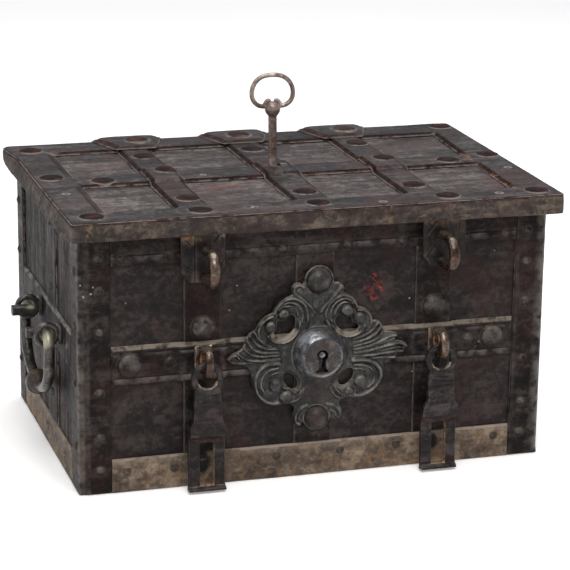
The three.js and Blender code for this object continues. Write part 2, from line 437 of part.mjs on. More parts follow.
for (const [side, sx] of [['left', -1], ['right', 1]]) {
  // bell-crank lever, drawn at the middle of its swing, then turned to the drawn-in end
  const lv = group(sx * LEVER_X, LEVER_Y, 0, lid);
  lv.rotation.z = -sx * LEVER_HALF;
  const a = -sx * LEVER_ARM;                      // arm towards the slide, along x
  const xr = (p, q) => (p < q ? [p, q] : [q, p]);
  let l = join(
    prismXY(circle(0, 0, 10, 16), LZ.lever0, LZ.lever1),
    box(...xr(0, a), -6, 6, LZ.lever0, LZ.lever1), prismXY(circle(a, 0, 7, 12), LZ.lever0, LZ.lever1),
    box(-6, 6, -LEVER_ARM, 0, LZ.lever0, LZ.lever1), prismXY(circle(0, -LEVER_ARM, 7, 12), LZ.lever0, LZ.lever1));
  l = cut(l,
    prismXY(circle(0, 0, 4.4, 14), LZ.lever0 - 1, LZ.lever1 + 1),
    box(...xr(a - 4.6, a + 4.6), -3.35, 3.35, LZ.lever0 - 1, LZ.lever1 + 1),
    box(-3.35, 3.35, -LEVER_ARM - 4.6, -LEVER_ARM + 4.6, LZ.lever0 - 1, LZ.lever1 + 1));
  node(`lock_lever_${side}`, l, M.lock, lv);
  // side bolt, drawn in
  const bg = group(0, 0, 0, lid);
  const b0 = LEVER_X - BOLT_THROW / 2;
  const xs = (p, q) => (sx < 0 ? [-q, -p] : [p, q]);
  let b = join(
    box(...xs(b0 - 9, 200), SIDE_BOLT_Y - 6, SIDE_BOLT_Y + 6, LZ.slide0, LZ.slide1),
    box(...xs(196.5, 200), SIDE_BOLT_Y - 6, SIDE_BOLT_Y + 6, LZ.slide0, LZ.slide1 + 2),
    prismXY(circle(sx * b0, SIDE_BOLT_Y, 3, 12), LZ.slide1 - 0.5, LZ.lever1 + 0.3));
  node(`lock_bolt_${side}`, b, M.lock, bg);
}

// ---------------------------------------------------------------- key
const key = group(KEY_X, KEY_Y, 0, lid);
let k = lathe([[0, 238.6], [3.7, 238.6], [3.7, 252], [4.15, 254], [4.15, 308.6], [5.4, 310], [7, 312.4], [7.7, 315.6], [7, 318.9], [5.2, 321.3], [0, 322.6]], 12, UP, [0, 0, 0]);
k = k.add(box(2, 12.6, -1.5, 1.5, 239, 250.4));
const bow = Array.from({ length: 20 }, (_, i) => { const a = (i / 20) * Math.PI * 2; return [20 * Math.cos(a), 0, 333.6 + 14.9 * Math.sin(a) - 3 * Math.cos(a) ** 2]; });
const bowCurve = new THREE.CatmullRomCurve3(bow.map((p) => new THREE.Vector3(...p)), true);
const bowShape = new THREE.Shape(circle(0, 0, 2.1, 6).map(([a, b]) => new THREE.Vector2(a, b)));
k = k.add(solid(new THREE.ExtrudeGeometry(bowShape, { steps: 24, bevelEnabled: false, extrudePath: bowCurve })));
node('key', k, M.key, key);

export default strongbox;
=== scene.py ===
import json
import math

import bmesh
import bpy
import numpy as np
from mathutils import Matrix, Vector
from mathutils.geometry import delaunay_2d_cdt


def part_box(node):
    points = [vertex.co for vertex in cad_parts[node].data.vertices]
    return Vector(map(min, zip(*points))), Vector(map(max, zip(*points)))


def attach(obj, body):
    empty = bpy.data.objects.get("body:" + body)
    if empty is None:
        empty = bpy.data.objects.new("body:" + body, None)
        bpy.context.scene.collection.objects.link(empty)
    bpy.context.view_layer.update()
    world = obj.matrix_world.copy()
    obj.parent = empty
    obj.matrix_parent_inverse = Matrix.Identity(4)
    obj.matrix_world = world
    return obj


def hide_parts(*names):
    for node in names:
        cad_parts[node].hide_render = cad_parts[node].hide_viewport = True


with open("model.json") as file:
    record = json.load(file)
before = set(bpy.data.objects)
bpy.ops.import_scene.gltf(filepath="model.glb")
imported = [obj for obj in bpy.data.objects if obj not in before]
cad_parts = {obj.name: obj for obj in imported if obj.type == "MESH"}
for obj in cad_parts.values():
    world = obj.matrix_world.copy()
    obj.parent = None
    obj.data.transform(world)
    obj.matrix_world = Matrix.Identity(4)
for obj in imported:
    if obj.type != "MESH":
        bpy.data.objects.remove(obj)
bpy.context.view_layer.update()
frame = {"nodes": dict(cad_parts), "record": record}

NODES = frame["nodes"]
MM = 0.001


# ------------------------------------------------------------------ noise
def _hash(ix, iy, iz, seed):
    h = (ix * 374761393 + iy * 668265263 + iz * 2147483647 + seed * 1274126177) & 0xFFFFFFFF
    h = ((h ^ (h >> 13)) * 1103515245) & 0xFFFFFFFF
    h = ((h ^ (h >> 16)) * 2654435769) & 0xFFFFFFFF
    return ((h ^ (h >> 15)) & 0xFFFFFF) / float(0xFFFFFF) * 2.0 - 1.0


def noise3(p, scale, seed=0):
    """Smooth value noise in -1..1 at points p (N,3); scale is the size of a bump in mm."""
    q = np.asarray(p, float) / scale + 1000.0
    i = np.floor(q).astype(np.int64)
    f = q - i
    f = f * f * f * (f * (f * 6 - 15) + 10)
    out = np.zeros(len(q))
    for dx in (0, 1):
        wx = f[:, 0] if dx else 1 - f[:, 0]
        for dy in (0, 1):
            wy = f[:, 1] if dy else 1 - f[:, 1]
            for dz in (0, 1):
                wz = f[:, 2] if dz else 1 - f[:, 2]
                out += wx * wy * wz * _hash(i[:, 0] + dx, i[:, 1] + dy, i[:, 2] + dz, seed)
    return out


def fbm(p, scale, seed=0, octaves=3, gain=0.5):
    out, a, total = 0.0, 1.0, 0.0
    for k in range(octaves):
        out = out + a * noise3(p, scale / 2**k, seed + 17 * k)
        total += a
        a *= gain
    return out / total


def sstep(a, b, x):
    t = np.clip((np.asarray(x, float) - a) / (b - a), 0.0, 1.0)
    return t * t * (3 - 2 * t)


# ------------------------------------------------------------------ plane geometry
def seg_dist(P, A, B, chunk=4000):
    """Distance of points P (N,2) from the nearest of the segments A-B (M,2)."""
    out = np.full(len(P), 1e9)
    if len(A) == 0:
        return out
    D = B - A
    L = np.maximum((D**2).sum(1), 1e-12)
    for k in range(0, len(P), chunk):
        p = P[k : k + chunk, None, :] - A[None]
        t = np.clip((p * D[None]).sum(2) / L[None], 0, 1)
        r = p - t[..., None] * D[None]
        out[k : k + chunk] = np.sqrt((r**2).sum(2).min(1))
    return out


def inside(P, loops, chunk=4000):
    """Even-odd test of points P against closed loops."""
    out = np.zeros(len(P), bool)
    for pts in loops:
        A = np.asarray(pts, float)
        B = np.roll(A, -1, 0)
        for k in range(0, len(P), chunk):
            x, y = P[k : k + chunk, 0:1], P[k : k + chunk, 1:2]
            cond = (A[None, :, 1] > y) != (B[None, :, 1] > y)
            dy = np.where(np.abs(B[:, 1] - A[:, 1]) < 1e-12, 1e-12, B[:, 1] - A[:, 1])
            xc = A[None, :, 0] + (y - A[None, :, 1]) * (B[:, 0] - A[:, 0])[None] / dy[None]
            out[k : k + chunk] ^= (np.logical_and(cond, x < xc).sum(1) % 2).astype(bool)
    return out


def area2(pts):
    A = np.asarray(pts, float)
    B = np.roll(A, -1, 0)
    return float((A[:, 0] * B[:, 1] - B[:, 0] * A[:, 1]).sum() / 2)


def resample(pts, step):
    """Closed loop with every side cut into pieces no longer than step. Returns points and the side each piece is on."""
    out, side = [], []
    n = len(pts)
    for i in range(n):
        a, b = np.array(pts[i], float), np.array(pts[(i + 1) % n], float)
        k = max(1, int(math.ceil(np.linalg.norm(b - a) / step)))
        for j in range(k):
            out.append(a + (b - a) * j / k)
            side.append(i)
    return np.array(out), np.array(side)


def circle(cx, cy, r, n=32, a0=0.0):
    a = a0 + np.arange(n) / n * 2 * math.pi
    return np.stack([cx + r * np.cos(a), cy + r * np.sin(a)], 1)


def arc(cx, cy, r, d0, d1, n):
    a = np.radians(d0 + (d1 - d0) * np.arange(n + 1) / n)
    return [(cx + r * math.cos(t), cy + r * math.sin(t)) for t in a]


def rect(u0, u1, v0, v1):
    return [(u0, v0), (u1, v0), (u1, v1), (u0, v1)]


# ------------------------------------------------------------------ meshes
class Shell:
    """Vertices in mm, faces, and per-vertex values named dust, wear, rust, tone."""

    KEYS = ("dust", "wear", "rust", "tone")

    def __init__(self):
        self.v, self.f, self.a, self.n = [], [], {k: [] for k in self.KEYS}, 0

    def add(self, v, f, **attrs):
        v = np.asarray(v, float)
        self.v.append(v)
        self.f += [tuple(int(i) + self.n for i in face) for face in f]
        for k in self.KEYS:
            x = attrs.get(k, 0.0)
            self.a[k].append(np.broadcast_to(np.asarray(x, float), (len(v),)).copy())
        self.n += len(v)
        return self

    def arrays(self):
        return np.concatenate(self.v), self.f, {k: np.concatenate(x) for k, x in self.a.items()}


def mesh_of(name, v, faces, attrs=None, sharp=35.0, scale=MM):
    me = bpy.data.meshes.new(name)
    v = np.asarray(v, float) * scale
    me.vertices.add(len(v))
    me.vertices.foreach_set("co", v.astype(np.float32).ravel())
    counts = np.array([len(f) for f in faces], np.int32)
    flat = np.fromiter((i for f in faces for i in f), np.int32, int(counts.sum()))
    me.loops.add(len(flat))
    me.loops.foreach_set("vertex_index", flat)
    me.polygons.add(len(counts))
    start = np.zeros(len(counts), np.int32)
    start[1:] = np.cumsum(counts)[:-1]
    me.polygons.foreach_set("loop_start", start)
    me.update(calc_edges=True)
    me.validate()
    me.shade_smooth()
    if sharp:
        me.set_sharp_from_angle(angle=math.radians(sharp))
    for k, x in (attrs or {}).items():
        if np.any(x):
            at = me.attributes.new(k, "FLOAT", "POINT")
            at.data.foreach_set("value", np.asarray(x, np.float32))
    return me


def read(me):
    """Vertices in mm, edges, normals of a Blender mesh."""
    n = len(me.vertices)
    v = np.empty(n * 3, np.float32)
    me.vertices.foreach_get("co", v)
    e = np.empty(len(me.edges) * 2, np.int32)
    me.edges.foreach_get("vertices", e)
    nn = np.empty(n * 3, np.float32)
    me.vertex_normals.foreach_get("vector", nn)
    return v.reshape(-1, 3).astype(float) / MM, e.reshape(-1, 2), nn.reshape(-1, 3).astype(float)


def convexity(v, e, nrm, smooth=1):
    """How far each vertex stands out of its neighbours, in mm, smoothed along the mesh."""
    n = len(v)
    deg = np.bincount(e.ravel(), minlength=n).clip(1)
    acc = np.zeros((n, 3))
    for k in range(3):
        acc[:, k] = np.bincount(e[:, 0], v[e[:, 1], k], n) + np.bincount(e[:, 1], v[e[:, 0], k], n)
    d = ((v - acc / deg[:, None]) * nrm).sum(1)
    for _ in range(smooth):
        s = np.bincount(e[:, 0], d[e[:, 1]], n) + np.bincount(e[:, 1], d[e[:, 0]], n)
        d = 0.5 * d + 0.5 * s / deg
    return d


def put(name, me, body, nodes, mat):
    ob = bpy.data.objects.new(name, me)
    bpy.context.scene.collection.objects.link(ob)
    me.materials.clear()
    me.materials.append(mat)
    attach(ob, body)
    if nodes:
        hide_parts(*nodes)
    return ob


BODY_OF = {n: b for b, ns in frame["record"]["behaviour"]["bodies"].items() for n in ns}


def piece(node, shell, mat, sharp=35.0, wear=(0.05, 0.3), name=None):
    """A shown piece that stands for one CAD node."""
    v, f, a = shell.arrays()
    me = mesh_of(name or node + "_shape", v, f, None, sharp)
    vv, e, nn = read(me)
    if wear:
        c = convexity(vv, e, nn, 1)
        a["wear"] = np.maximum(a["wear"], sstep(wear[0], wear[1], c))
    for k, x in a.items():
        if np.any(x):
            at = me.attributes.new(k, "FLOAT", "POINT")
            at.data.foreach_set("value", np.asarray(x, np.float32))
    return put(me.name, me, BODY_OF[node], [node], mat)


# ------------------------------------------------------------------ plates and straps
def front_at(y):
    return lambda u, v, h: np.stack([u, y - h, v], 1)


def back_at(y):
    return lambda u, v, h: np.stack([-u, y + h, v], 1)


def left_at(x):
    return lambda u, v, h: np.stack([x - h, -u, v], 1)


def right_at(x):
    return lambda u, v, h: np.stack([x + h, u, v], 1)


def top_at(z):
    return lambda u, v, h: np.stack([u, v, z + h], 1)


def under_at(z):
    return lambda u, v, h: np.stack([v, u, z - h], 1)


def seg_pick(P, A, B, R, chunk=3000):
    """For points P: the smallest distance to a segment divided by the segment's own width R, and which segment that is."""
    t_out, i_out = np.full(len(P), 1e9), np.zeros(len(P), int)
    if len(A) == 0:
        return t_out, i_out
    D = B - A
    L = np.maximum((D**2).sum(1), 1e-12)
    for k in range(0, len(P), chunk):
        p = P[k : k + chunk, None, :] - A[None]
        t = np.clip((p * D[None]).sum(2) / L[None], 0, 1)
        r = p - t[..., None] * D[None]
        q = np.sqrt((r**2).sum(2)) / R[None]
        i = q.argmin(1)
        i_out[k : k + chunk] = i
        t_out[k : k + chunk] = q[np.arange(len(i)), i]
    return t_out, i_out


def plate(loops, place, thick, cell=6.0, bevel=1.2, drop=None, step=3.0, wav=0.35, dents=(0.25, 24.0), fine=0.06,
          rivets=(), grooves=(), bare=None, lower=None, raise_by=None, dense_back=False, foot=0.0, seed=0, rivet_dust=0.0,
          rivet_tone=0.0, sculpt=None, crest=1.35, rivet_wear=0.0, arc_w=0.0, crest_line=0.0):
    """A hammered plate over an outline in u,v. loops: outline, then holes. place(u, v, h) puts it in space, with h from
    its back (0) to its face (thick). bevel: width of the chamfer, a value, one per loop, or a function of the edge's
    outward direction and the loop that gives width, height, dust and tone. drop: height of the chamfer.
    bare(u, v): where a side is a flush joint, without a chamfer. lower(u, v): how far the face lies below thick.
    raise_by(u, v): height of the back. sculpt(V): height of a worked relief in place of thick, with tone and dust.
    rivets: (u, v, radius, height). grooves: (u0, v0, u1, v1, width, depth). The rivet wear value: how bare the heads
    are worn, and how strong a painted highlight that makes the upper side of each head lighter.
    arc_w: how much wider the dust lies in front of a head than beside it. crest_line: a dark line along the chamfer's
    crest."""
    nl = len(loops)
    if callable(bevel):
        style = bevel
    else:
        bs = list(bevel) if isinstance(bevel, (list, tuple)) else [bevel] * nl
        ds = list(drop) if isinstance(drop, (list, tuple)) else [drop if drop is not None else min(b, thick * 0.8) for b in bs]
        style = lambda nx, ny, k: (bs[k] + 0 * nx, ds[k] + 0 * nx, 0 * nx, 0 * nx)
    rings, outline = [], []
    sA, sB, sW, sD, sU, sT = [], [], [], [], [], []
    for k, pts in enumerate(loops):
        pts = [tuple(p) for p in pts]
        if (area2(pts) > 0) != (k == 0):
            pts = pts[::-1]
        p, side = resample(pts, step)
        nxt, prv = np.roll(p, -1, 0), np.roll(p, 1, 0)
        mid = (p + nxt) / 2
        flush = bare(mid[:, 0], mid[:, 1]) if bare else np.zeros(len(p), bool)
        fl_v = flush | np.roll(flush, 1)
        t1, t0 = nxt - p, p - prv
        t1 /= np.maximum(np.linalg.norm(t1, axis=1, keepdims=True), 1e-9)
        t0 /= np.maximum(np.linalg.norm(t0, axis=1, keepdims=True), 1e-9)
        n1 = np.stack([-t1[:, 1], t1[:, 0]], 1)
        n0 = np.stack([-t0[:, 1], t0[:, 0]], 1)
        b, dr, du, to = [np.asarray(q, float) + np.zeros(len(p)) for q in style(-n1[:, 0], -n1[:, 1], k)]
        nn = n0 + n1
        ln = np.maximum(np.linalg.norm(nn, axis=1, keepdims=True), 1e-6)
        mitre = nn / ln * np.minimum(2.0 / ln, 1.6)
        if wav:
            w = place(p[:, 0], p[:, 1], np.zeros(len(p)))
            amt = wav * (0.5 + 0.5 * fbm(w, 22.0, seed + 3, 3))
            amt[fl_v] = 0
            p = p + mitre * amt[:, None]
            nxt = np.roll(p, -1, 0)
        bv = np.minimum(b, np.roll(b, 1))
        rings.append((p, mitre, fl_v, bv))
        keep = ~flush & (b > 0)
        sA.append(p[keep])
        sB.append(nxt[keep])
        sW.append(b[keep])
        sD.append(dr[keep])
        sU.append(du[keep])
        sT.append(to[keep])
        outline.append(p)
    sA, sB, sW, sD, sU, sT = [np.concatenate(q) for q in (sA, sB, sW, sD, sU, sT)]
    allA = np.concatenate(outline)
    allB = np.concatenate([np.roll(p, -1, 0) for p in outline])
    cut = [tuple(float(x) for x in r[:4]) for r in rivets]

    def clear_of_rivets(q, margin=1.5):
        ok = np.ones(len(q), bool)
        for u, v, r, h in cut:
            ok &= (q[:, 0] - u) ** 2 + (q[:, 1] - v) ** 2 > (r + margin) ** 2
        return ok

    pts = []
    last = float(sW.max()) if len(sW) else 0.0
    for p, mitre, fl_v, bv in rings:
        fracs = [0.2, 0.45, 0.72, 0.92, 1.06] if last < 2.2 else [0.12, 0.28, 0.46, 0.64, 0.82, 0.95, 1.08]
        for fr in fracs:
            q = p + mitre * (bv * fr)[:, None]
            q = q[~fl_v & (bv > 0)]
            if len(q) == 0:
                continue
            t, _ = seg_pick(q, sA, sB, sW)
            ok = (t > fr * 0.95) & inside(q, outline) & (seg_dist(q, allA, allB) > 0.22)
            pts.append(q[ok & clear_of_rivets(q)])
    for u, v, r, h in cut:
        n = int(max(14, min(40, r * 3.2)))
        for fr in ([0.0, 0.3, 0.55, 0.75, 0.88, 0.96, 1.0] if r > 6 else [0.0, 0.4, 0.7, 0.9, 1.0]):
            pts.append(circle(u, v, r * fr, n if fr > 0.5 else max(6, n // 2), 0.1 * fr) if fr else np.array([[u, v]]))
        for ex in (0.15, 0.7, 1.35):
            c = circle(u, v, r + ex, n, 0.05)
            pts.append(c[inside(c, outline) & (seg_dist(c, allA, allB) > 0.3)])
    for g in grooves:
        a, b = np.array(g[:2], float), np.array(g[2:4], float)
        w = g[4]
        n = max(2, int(np.linalg.norm(b - a) / 2.5))
        t = (b - a) / max(np.linalg.norm(b - a), 1e-6)
        m = np.array([-t[1], t[0]])
        line = a + (b - a) * np.linspace(0, 1, n + 1)[:, None]
        for off in (-w, -w * 0.45, 0, w * 0.45, w):
            q = line + m * off
            pts.append(q[inside(q, outline) & clear_of_rivets(q, 0.4) & (seg_dist(q, allA, allB) > 0.5)])
    lo, hi = allA.min(0), allA.max(0)
    nu, nv = max(1, int((hi[0] - lo[0]) / cell)), max(1, int((hi[1] - lo[1]) / cell))
    gu, gv = np.meshgrid(lo[0] + (np.arange(nu) + 0.5) / nu * (hi[0] - lo[0]), lo[1] + (np.arange(nv) + 0.5) / nv * (hi[1] - lo[1]))
    grid = np.stack([gu.ravel(), gv.ravel()], 1)
    if cell < 2:  # offset every second row, for an even relief
        grid[:, 0] += (np.arange(len(grid)) // nu % 2 - 0.5) * 0.5 * cell
    grid = grid[inside(grid, outline) & clear_of_rivets(grid, 1.5 + cell * 0.3)]
    t, i = seg_pick(grid, sA, sB, sW) if len(sA) else (np.full(len(grid), 9.0), np.zeros(len(grid), int))
    ok = (t * (sW[i] if len(sW) else 1.0) > (sW[i] if len(sW) else 0.0) * 1.08 + 0.25 * min(cell, 4)) & (seg_dist(grid, allA, allB) > 0.4 * min(cell, 2))
    for g in grooves:
        ok &= seg_dist(grid, np.array([g[:2]], float), np.array([g[2:4]], float)) > g[4] + cell * 0.25
    pts.append(grid[ok])
    base = np.concatenate(outline)
    P = np.concatenate([base] + [p for p in pts if len(p)])
    edges, k = [], 0
    for p in outline:
        n = len(p)
        edges += [(k + i, k + (i + 1) % n) for i in range(n)]
        k += n
    res = delaunay_2d_cdt([Vector(q) for q in P], edges, [], 0, 1e-4)
    V = np.array([tuple(q) for q in res[0]], float).reshape(-1, 2)
    F = np.array(res[2], int).reshape(-1, 3)
    F = F[inside(V[F].mean(1), outline)]
    back_to = {}
    for i, src in enumerate(res[3]):
        for s in src:
            back_to[s] = i
    used = np.zeros(len(V), bool)
    used[F.ravel()] = True
    for i in range(len(base)):
        used[back_to.get(i, 0)] = True
    remap = np.cumsum(used) - 1
    V = V[used]
    F = remap[F]
    bl, k = [], 0
    for p in outline:
        bl.append([int(remap[back_to[k + i]]) for i in range(len(p))])
        k += len(p)
    edge_i = np.concatenate([np.array(b) for b in bl])
    # heights of the face
    dust, tone, rust, head_wear_and_highlight = np.zeros(len(V)), np.zeros(len(V)), np.zeros(len(V)), np.zeros(len(V))
    drop_now = np.zeros(len(V))
    if len(sA):
        t, i = seg_pick(V, sA, sB, sW)
        drop_now = sD[i] * (1 - np.clip(t, 0, 1)) ** crest
        within = sstep(1.12, 0.9, t)
        d_mm = t * sW[i]
        dust = np.maximum(foot * np.exp(-((d_mm / 0.75) ** 2)), sU[i] * within)
        tone = sT[i] * within
        if crest_line:
            tone = np.maximum(tone, crest_line * np.exp(-(((t - 0.9) / 0.13) ** 2)) * (sT[i] > 0))
    H = np.full(len(V), float(thick))
    if lower is not None:
        H -= lower(V[:, 0], V[:, 1])
    if sculpt is not None:
        H, st, sd = sculpt(V)
        tone, dust = np.maximum(tone, st), np.maximum(dust, sd)
    W = place(V[:, 0], V[:, 1], H)
    dent = dents[0] * (0.5 + 0.5 * fbm(W, dents[1], seed, 3)) + fine * (0.5 + 0.5 * noise3(W, 3.1, seed + 5))
    H = H - dent - drop_now
    for u, v, r, h in cut:
        d = np.hypot(V[:, 0] - u, V[:, 1] - v)
        near = d <= r + 0.02
        k = np.clip(d / r, 0, 1)
        wob = 1 + 0.10 * noise3(np.stack([V[:, 0], V[:, 1], np.full(len(V), u)], 1), r * 0.8, seed + 9)
        if h > 3:
            dome = h * (0.10 + 0.90 * np.sqrt(np.clip(1 - k**2.2, 0, 1))) * wob
        else:
            dome = h * (0.30 + 0.70 * (1 - k**2.6)) * wob
        H = np.where(near, np.minimum(H + dome, thick + h), H)
        up = (V[:, 1] - v) / np.maximum(d, 0.1)
        wd = 0.55 + arc_w * np.abs(up)
        ring = np.exp(-(((d - r - 0.8 * wd) / wd) ** 2)) * ((0.62 - 0.38 * up) if arc_w else (0.7 + 0.3 * up))
        dust = np.maximum(dust, rivet_dust * ring)
        tone = np.where(near, rivet_tone, tone)
        # the upper side of each head is made lighter: part real wear, part a painted highlight where light falls on its
        # top
        head_wear_and_highlight = np.where(near, rivet_wear * np.clip(0.25 + 0.9 * (V[:, 1] - v) / r, 0, 1) * sstep(1.02, 0.85, k), head_wear_and_highlight)
    for g in grooves:
        d = seg_dist(V, np.array([g[:2]], float), np.array([g[2:4]], float))
        H -= g[5] * np.exp(-((d / (g[4] * 0.55)) ** 2))
    hb = np.zeros(len(V)) if raise_by is None else raise_by(V[:, 0], V[:, 1])
    H = np.maximum(H, hb + 0.25)
    top = place(V[:, 0], V[:, 1], H)
    sh = Shell()
    faces = [tuple(t) for t in F]
    n = len(V)
    if dense_back:
        hb2 = hb + 0.12 * (0.5 + 0.5 * fbm(place(V[:, 0], V[:, 1], hb), 26.0, seed + 40, 2))
        hb2[edge_i] = hb[edge_i]
        verts = np.concatenate([top, place(V[:, 0], V[:, 1], hb2)])
        faces += [(t[0] + n, t[2] + n, t[1] + n) for t in F]
        for b in bl:
            for i in range(len(b)):
                p, q = b[i], b[(i + 1) % len(b)]
                faces.append((q, p, p + n, q + n))
        extra = n
    else:
        eu = V[edge_i]
        local = {int(i): n + k for k, i in enumerate(edge_i)}
        verts = np.concatenate([top, place(eu[:, 0], eu[:, 1], hb[edge_i])])
        for b in bl:
            for i in range(len(b)):
                p, q = b[i], b[(i + 1) % len(b)]
                faces.append((q, p, local[p], local[q]))
        edges, k = [], 0
        for b in bl:
            m = len(b)
            edges += [(k + i, k + (i + 1) % m) for i in range(m)]
            k += m
        r2 = delaunay_2d_cdt([Vector(q) for q in eu], edges, [], 0, 1e-5)
        V2 = np.array([tuple(q) for q in r2[0]], float).reshape(-1, 2)
        F2 = np.array(r2[2], int).reshape(-1, 3)
        F2 = F2[inside(V2[F2].mean(1), [V[b] for b in bl])]
        src = [s[0] if s else -1 for s in r2[3]]
        for t in F2:
            idx = [src[i] for i in t]
            if min(idx) >= 0:
                faces.append((n + idx[0], n + idx[2], n + idx[1]))
        extra = len(eu)
    z = np.zeros(extra)
    sh.add(verts, faces, dust=np.concatenate([dust, z]), tone=np.concatenate([tone, z]), rust=np.concatenate([rust, z]), wear=np.concatenate([head_wear_and_highlight, z]))
    return sh


def near_path(V, pts, n=None):
    """Distance of points from a smooth curve through pts, and how far along it they lie, 0..1."""
    c = np.array([(p.x, p.y) for p in spline([(a, b, 0) for a, b in pts], n or 8 * len(pts))])
    A, B = c[:-1], c[1:]
    D = B - A
    L = np.maximum((D**2).sum(1), 1e-12)
    d_out, s_out = np.full(len(V), 1e9), np.zeros(len(V))
    for k in range(0, len(V), 4000):
        p = V[k : k + 4000, None, :] - A[None]
        t = np.clip((p * D[None]).sum(2) / L[None], 0, 1)
        r = p - t[..., None] * D[None]
        q = np.sqrt((r**2).sum(2))
        i = q.argmin(1)
        j = np.arange(len(i))
        d_out[k : k + 4000] = q[j, i]
        s_out[k : k + 4000] = (i + t[j, i]) / len(A)
    return d_out, s_out


def smax(a, b, k=0.7):
    return np.maximum(a, b) + np.maximum(k - np.abs(a - b), 0) ** 2 / (4 * k)


# ------------------------------------------------------------------ forged pieces, fused from closed shells
def lathe_shell(profile, n, origin, axis, up=None):
    """Closed solid of revolution: profile of (radius, height), both ends on the axis."""
    ax = Vector(axis).normalized()
    rot = Vector((0, 0, 1)).rotation_difference(ax).to_matrix()
    v, f = [], []
    rows = []
    for r, h in profile:
        if r < 1e-6:
            rows.append([len(v)])
            v.append((0, 0, h))
        else:
            rows.append(list(range(len(v), len(v) + n)))
            v += [(r * math.cos(2 * math.pi * i / n), r * math.sin(2 * math.pi * i / n), h) for i in range(n)]
    for a, b in zip(rows, rows[1:]):
        for i in range(n):
            j = (i + 1) % n
            if len(a) == 1 and len(b) == 1:
                continue
            if len(a) == 1:
                f.append((a[0], b[j], b[i]))
            elif len(b) == 1:
                f.append((a[i], a[j], b[0]))
            else:
                f.append((a[i], a[j], b[j], b[i]))
    V = np.array([tuple(rot @ Vector(p) + Vector(origin)) for p in v])
    return V, f


def spline(points, n, closed=False):
    """Centripetal curve through points, n samples."""
    p = [Vector(q) for q in points]
    if closed:
        p = [p[-1]] + p + [p[0], p[1]]
    else:
        p = [p[0] * 2 - p[1]] + p + [p[-1] * 2 - p[-2]]
    out = []
    segs = len(p) - 3
    for s in range(n):
        t = s / (n if closed else n - 1) * segs
        i = min(int(t), segs - 1)
        t -= i
        p0, p1, p2, p3 = p[i : i + 4]
        d0 = max((p1 - p0).length, 1e-6) ** 0.5
        d1 = max((p2 - p1).length, 1e-6) ** 0.5
        d2 = max((p3 - p2).length, 1e-6) ** 0.5
        m1 = (p2 - p1) + d1 * ((p1 - p0) / d0 - (p2 - p0) / (d0 + d1))
        m2 = (p2 - p1) + d1 * ((p3 - p2) / d2 - (p3 - p1) / (d1 + d2))
        a = p1 * 2 - p2 * 2 + m1 + m2
        b = p2 * 3 - p1 * 3 - m1 * 2 - m2
        out.append(a * t**3 + b * t**2 + m1 * t + p1)
    return out


def sweep(path, section, closed=False, up=(0, 0, 1), scale=None):
    """Closed tube of a 2-D section (list of (a, b)) along a path; a lies across, b along up."""
    P = [Vector(p) for p in path]
    n = len(P)
    m = len(section)
    v, f = [], []
    upv = Vector(up)
    for i in range(n):
        if closed:
            t = (P[(i + 1) % n] - P[i - 1]).normalized()
        else:
            t = (P[min(i + 1, n - 1)] - P[max(i - 1, 0)]).normalized()
        a = t.cross(upv)
        if a.length < 1e-4:
            a = t.cross(Vector((1, 0, 0)))
        a.normalize()
        b = a.cross(t).normalized()
        k = scale(i / (n - 1)) if scale else 1.0
        for s in section:
            v.append(P[i] + a * (s[0] * k) + b * (s[1] * k))
    for i in range(n if closed else n - 1):
        j = (i + 1) % n
        for s in range(m):
            q = (s + 1) % m
            f.append((i * m + s, i * m + q, j * m + q, j * m + s))
    if not closed:
        f.append(tuple(range(m - 1, -1, -1)))
        f.append(tuple((n - 1) * m + s for s in range(m)))
    V = np.array([tuple(p) for p in v])
    # make sure that the faces look outwards
    vol = 0.0
    for face in f:
        a = V[face[0]]
        for i in range(1, len(face) - 1):
            vol += float(np.dot(a, np.cross(V[face[i]], V[face[i + 1]])))
    if vol < 0:
        f = [tuple(reversed(x)) for x in f]
    return V, f


def oval(a, b, n=20, p=2.0):
    """Superellipse section."""
    out = []
    for i in range(n):
        t = 2 * math.pi * i / n
        c, s = math.cos(t), math.sin(t)
        out.append((a * math.copysign(abs(c) ** (2 / p), c), b * math.copysign(abs(s) ** (2 / p), s)))
    return out


def prism(pts, place, h0, h1, holes=()):
    """Closed prism over an outline, in coarse form, for fusing."""
    loops = [[tuple(p) for p in pts]] + [[tuple(p) for p in h] for h in holes]
    loops = [l if (area2(l) > 0) == (k == 0) else l[::-1] for k, l in enumerate(loops)]
    base = [p for l in loops for p in l]
    edges, k = [], 0
    for l in loops:
        n = len(l)
        edges += [(k + i, k + (i + 1) % n) for i in range(n)]
        k += n
    res = delaunay_2d_cdt([Vector(q) for q in base], edges, [], 0, 1e-5)
    V = np.array([tuple(q) for q in res[0]], float)
    F = np.array(res[2], int).reshape(-1, 3)
    F = F[inside(V[F].mean(1), [np.array(l, float) for l in loops])]
    src = [s[0] for s in res[3]]
    n = len(base)
    B = np.array(base, float)
    v = np.concatenate([place(B[:, 0], B[:, 1], np.full(n, float(h1))), place(B[:, 0], B[:, 1], np.full(n, float(h0)))])
    f = [tuple(src[i] for i in t) for t in F] + [(n + src[t[0]], n + src[t[2]], n + src[t[1]]) for t in F]
    k = 0
    for l in loops:
        m = len(l)
        for i in range(m):
            p, q = k + i, k + (i + 1) % m
            f.append((q, p, p + n, q + n))
        k += m
    return v, f


def block(x0, x1, y0, y1, z0, z1):
    v = np.array([(x, y, z) for z in (z0, z1) for y in (y0, y1) for x in (x0, x1)], float)
    f = [(0, 2, 3, 1), (4, 5, 7, 6), (0, 1, 5, 4), (2, 6, 7, 3), (0, 4, 6, 2), (1, 3, 7, 5)]
    return v, f


def turned(vf, matrix):
    v, f = vf
    M4 = np.array(matrix)
    return v @ M4[:3, :3].T + M4[:3, 3], f


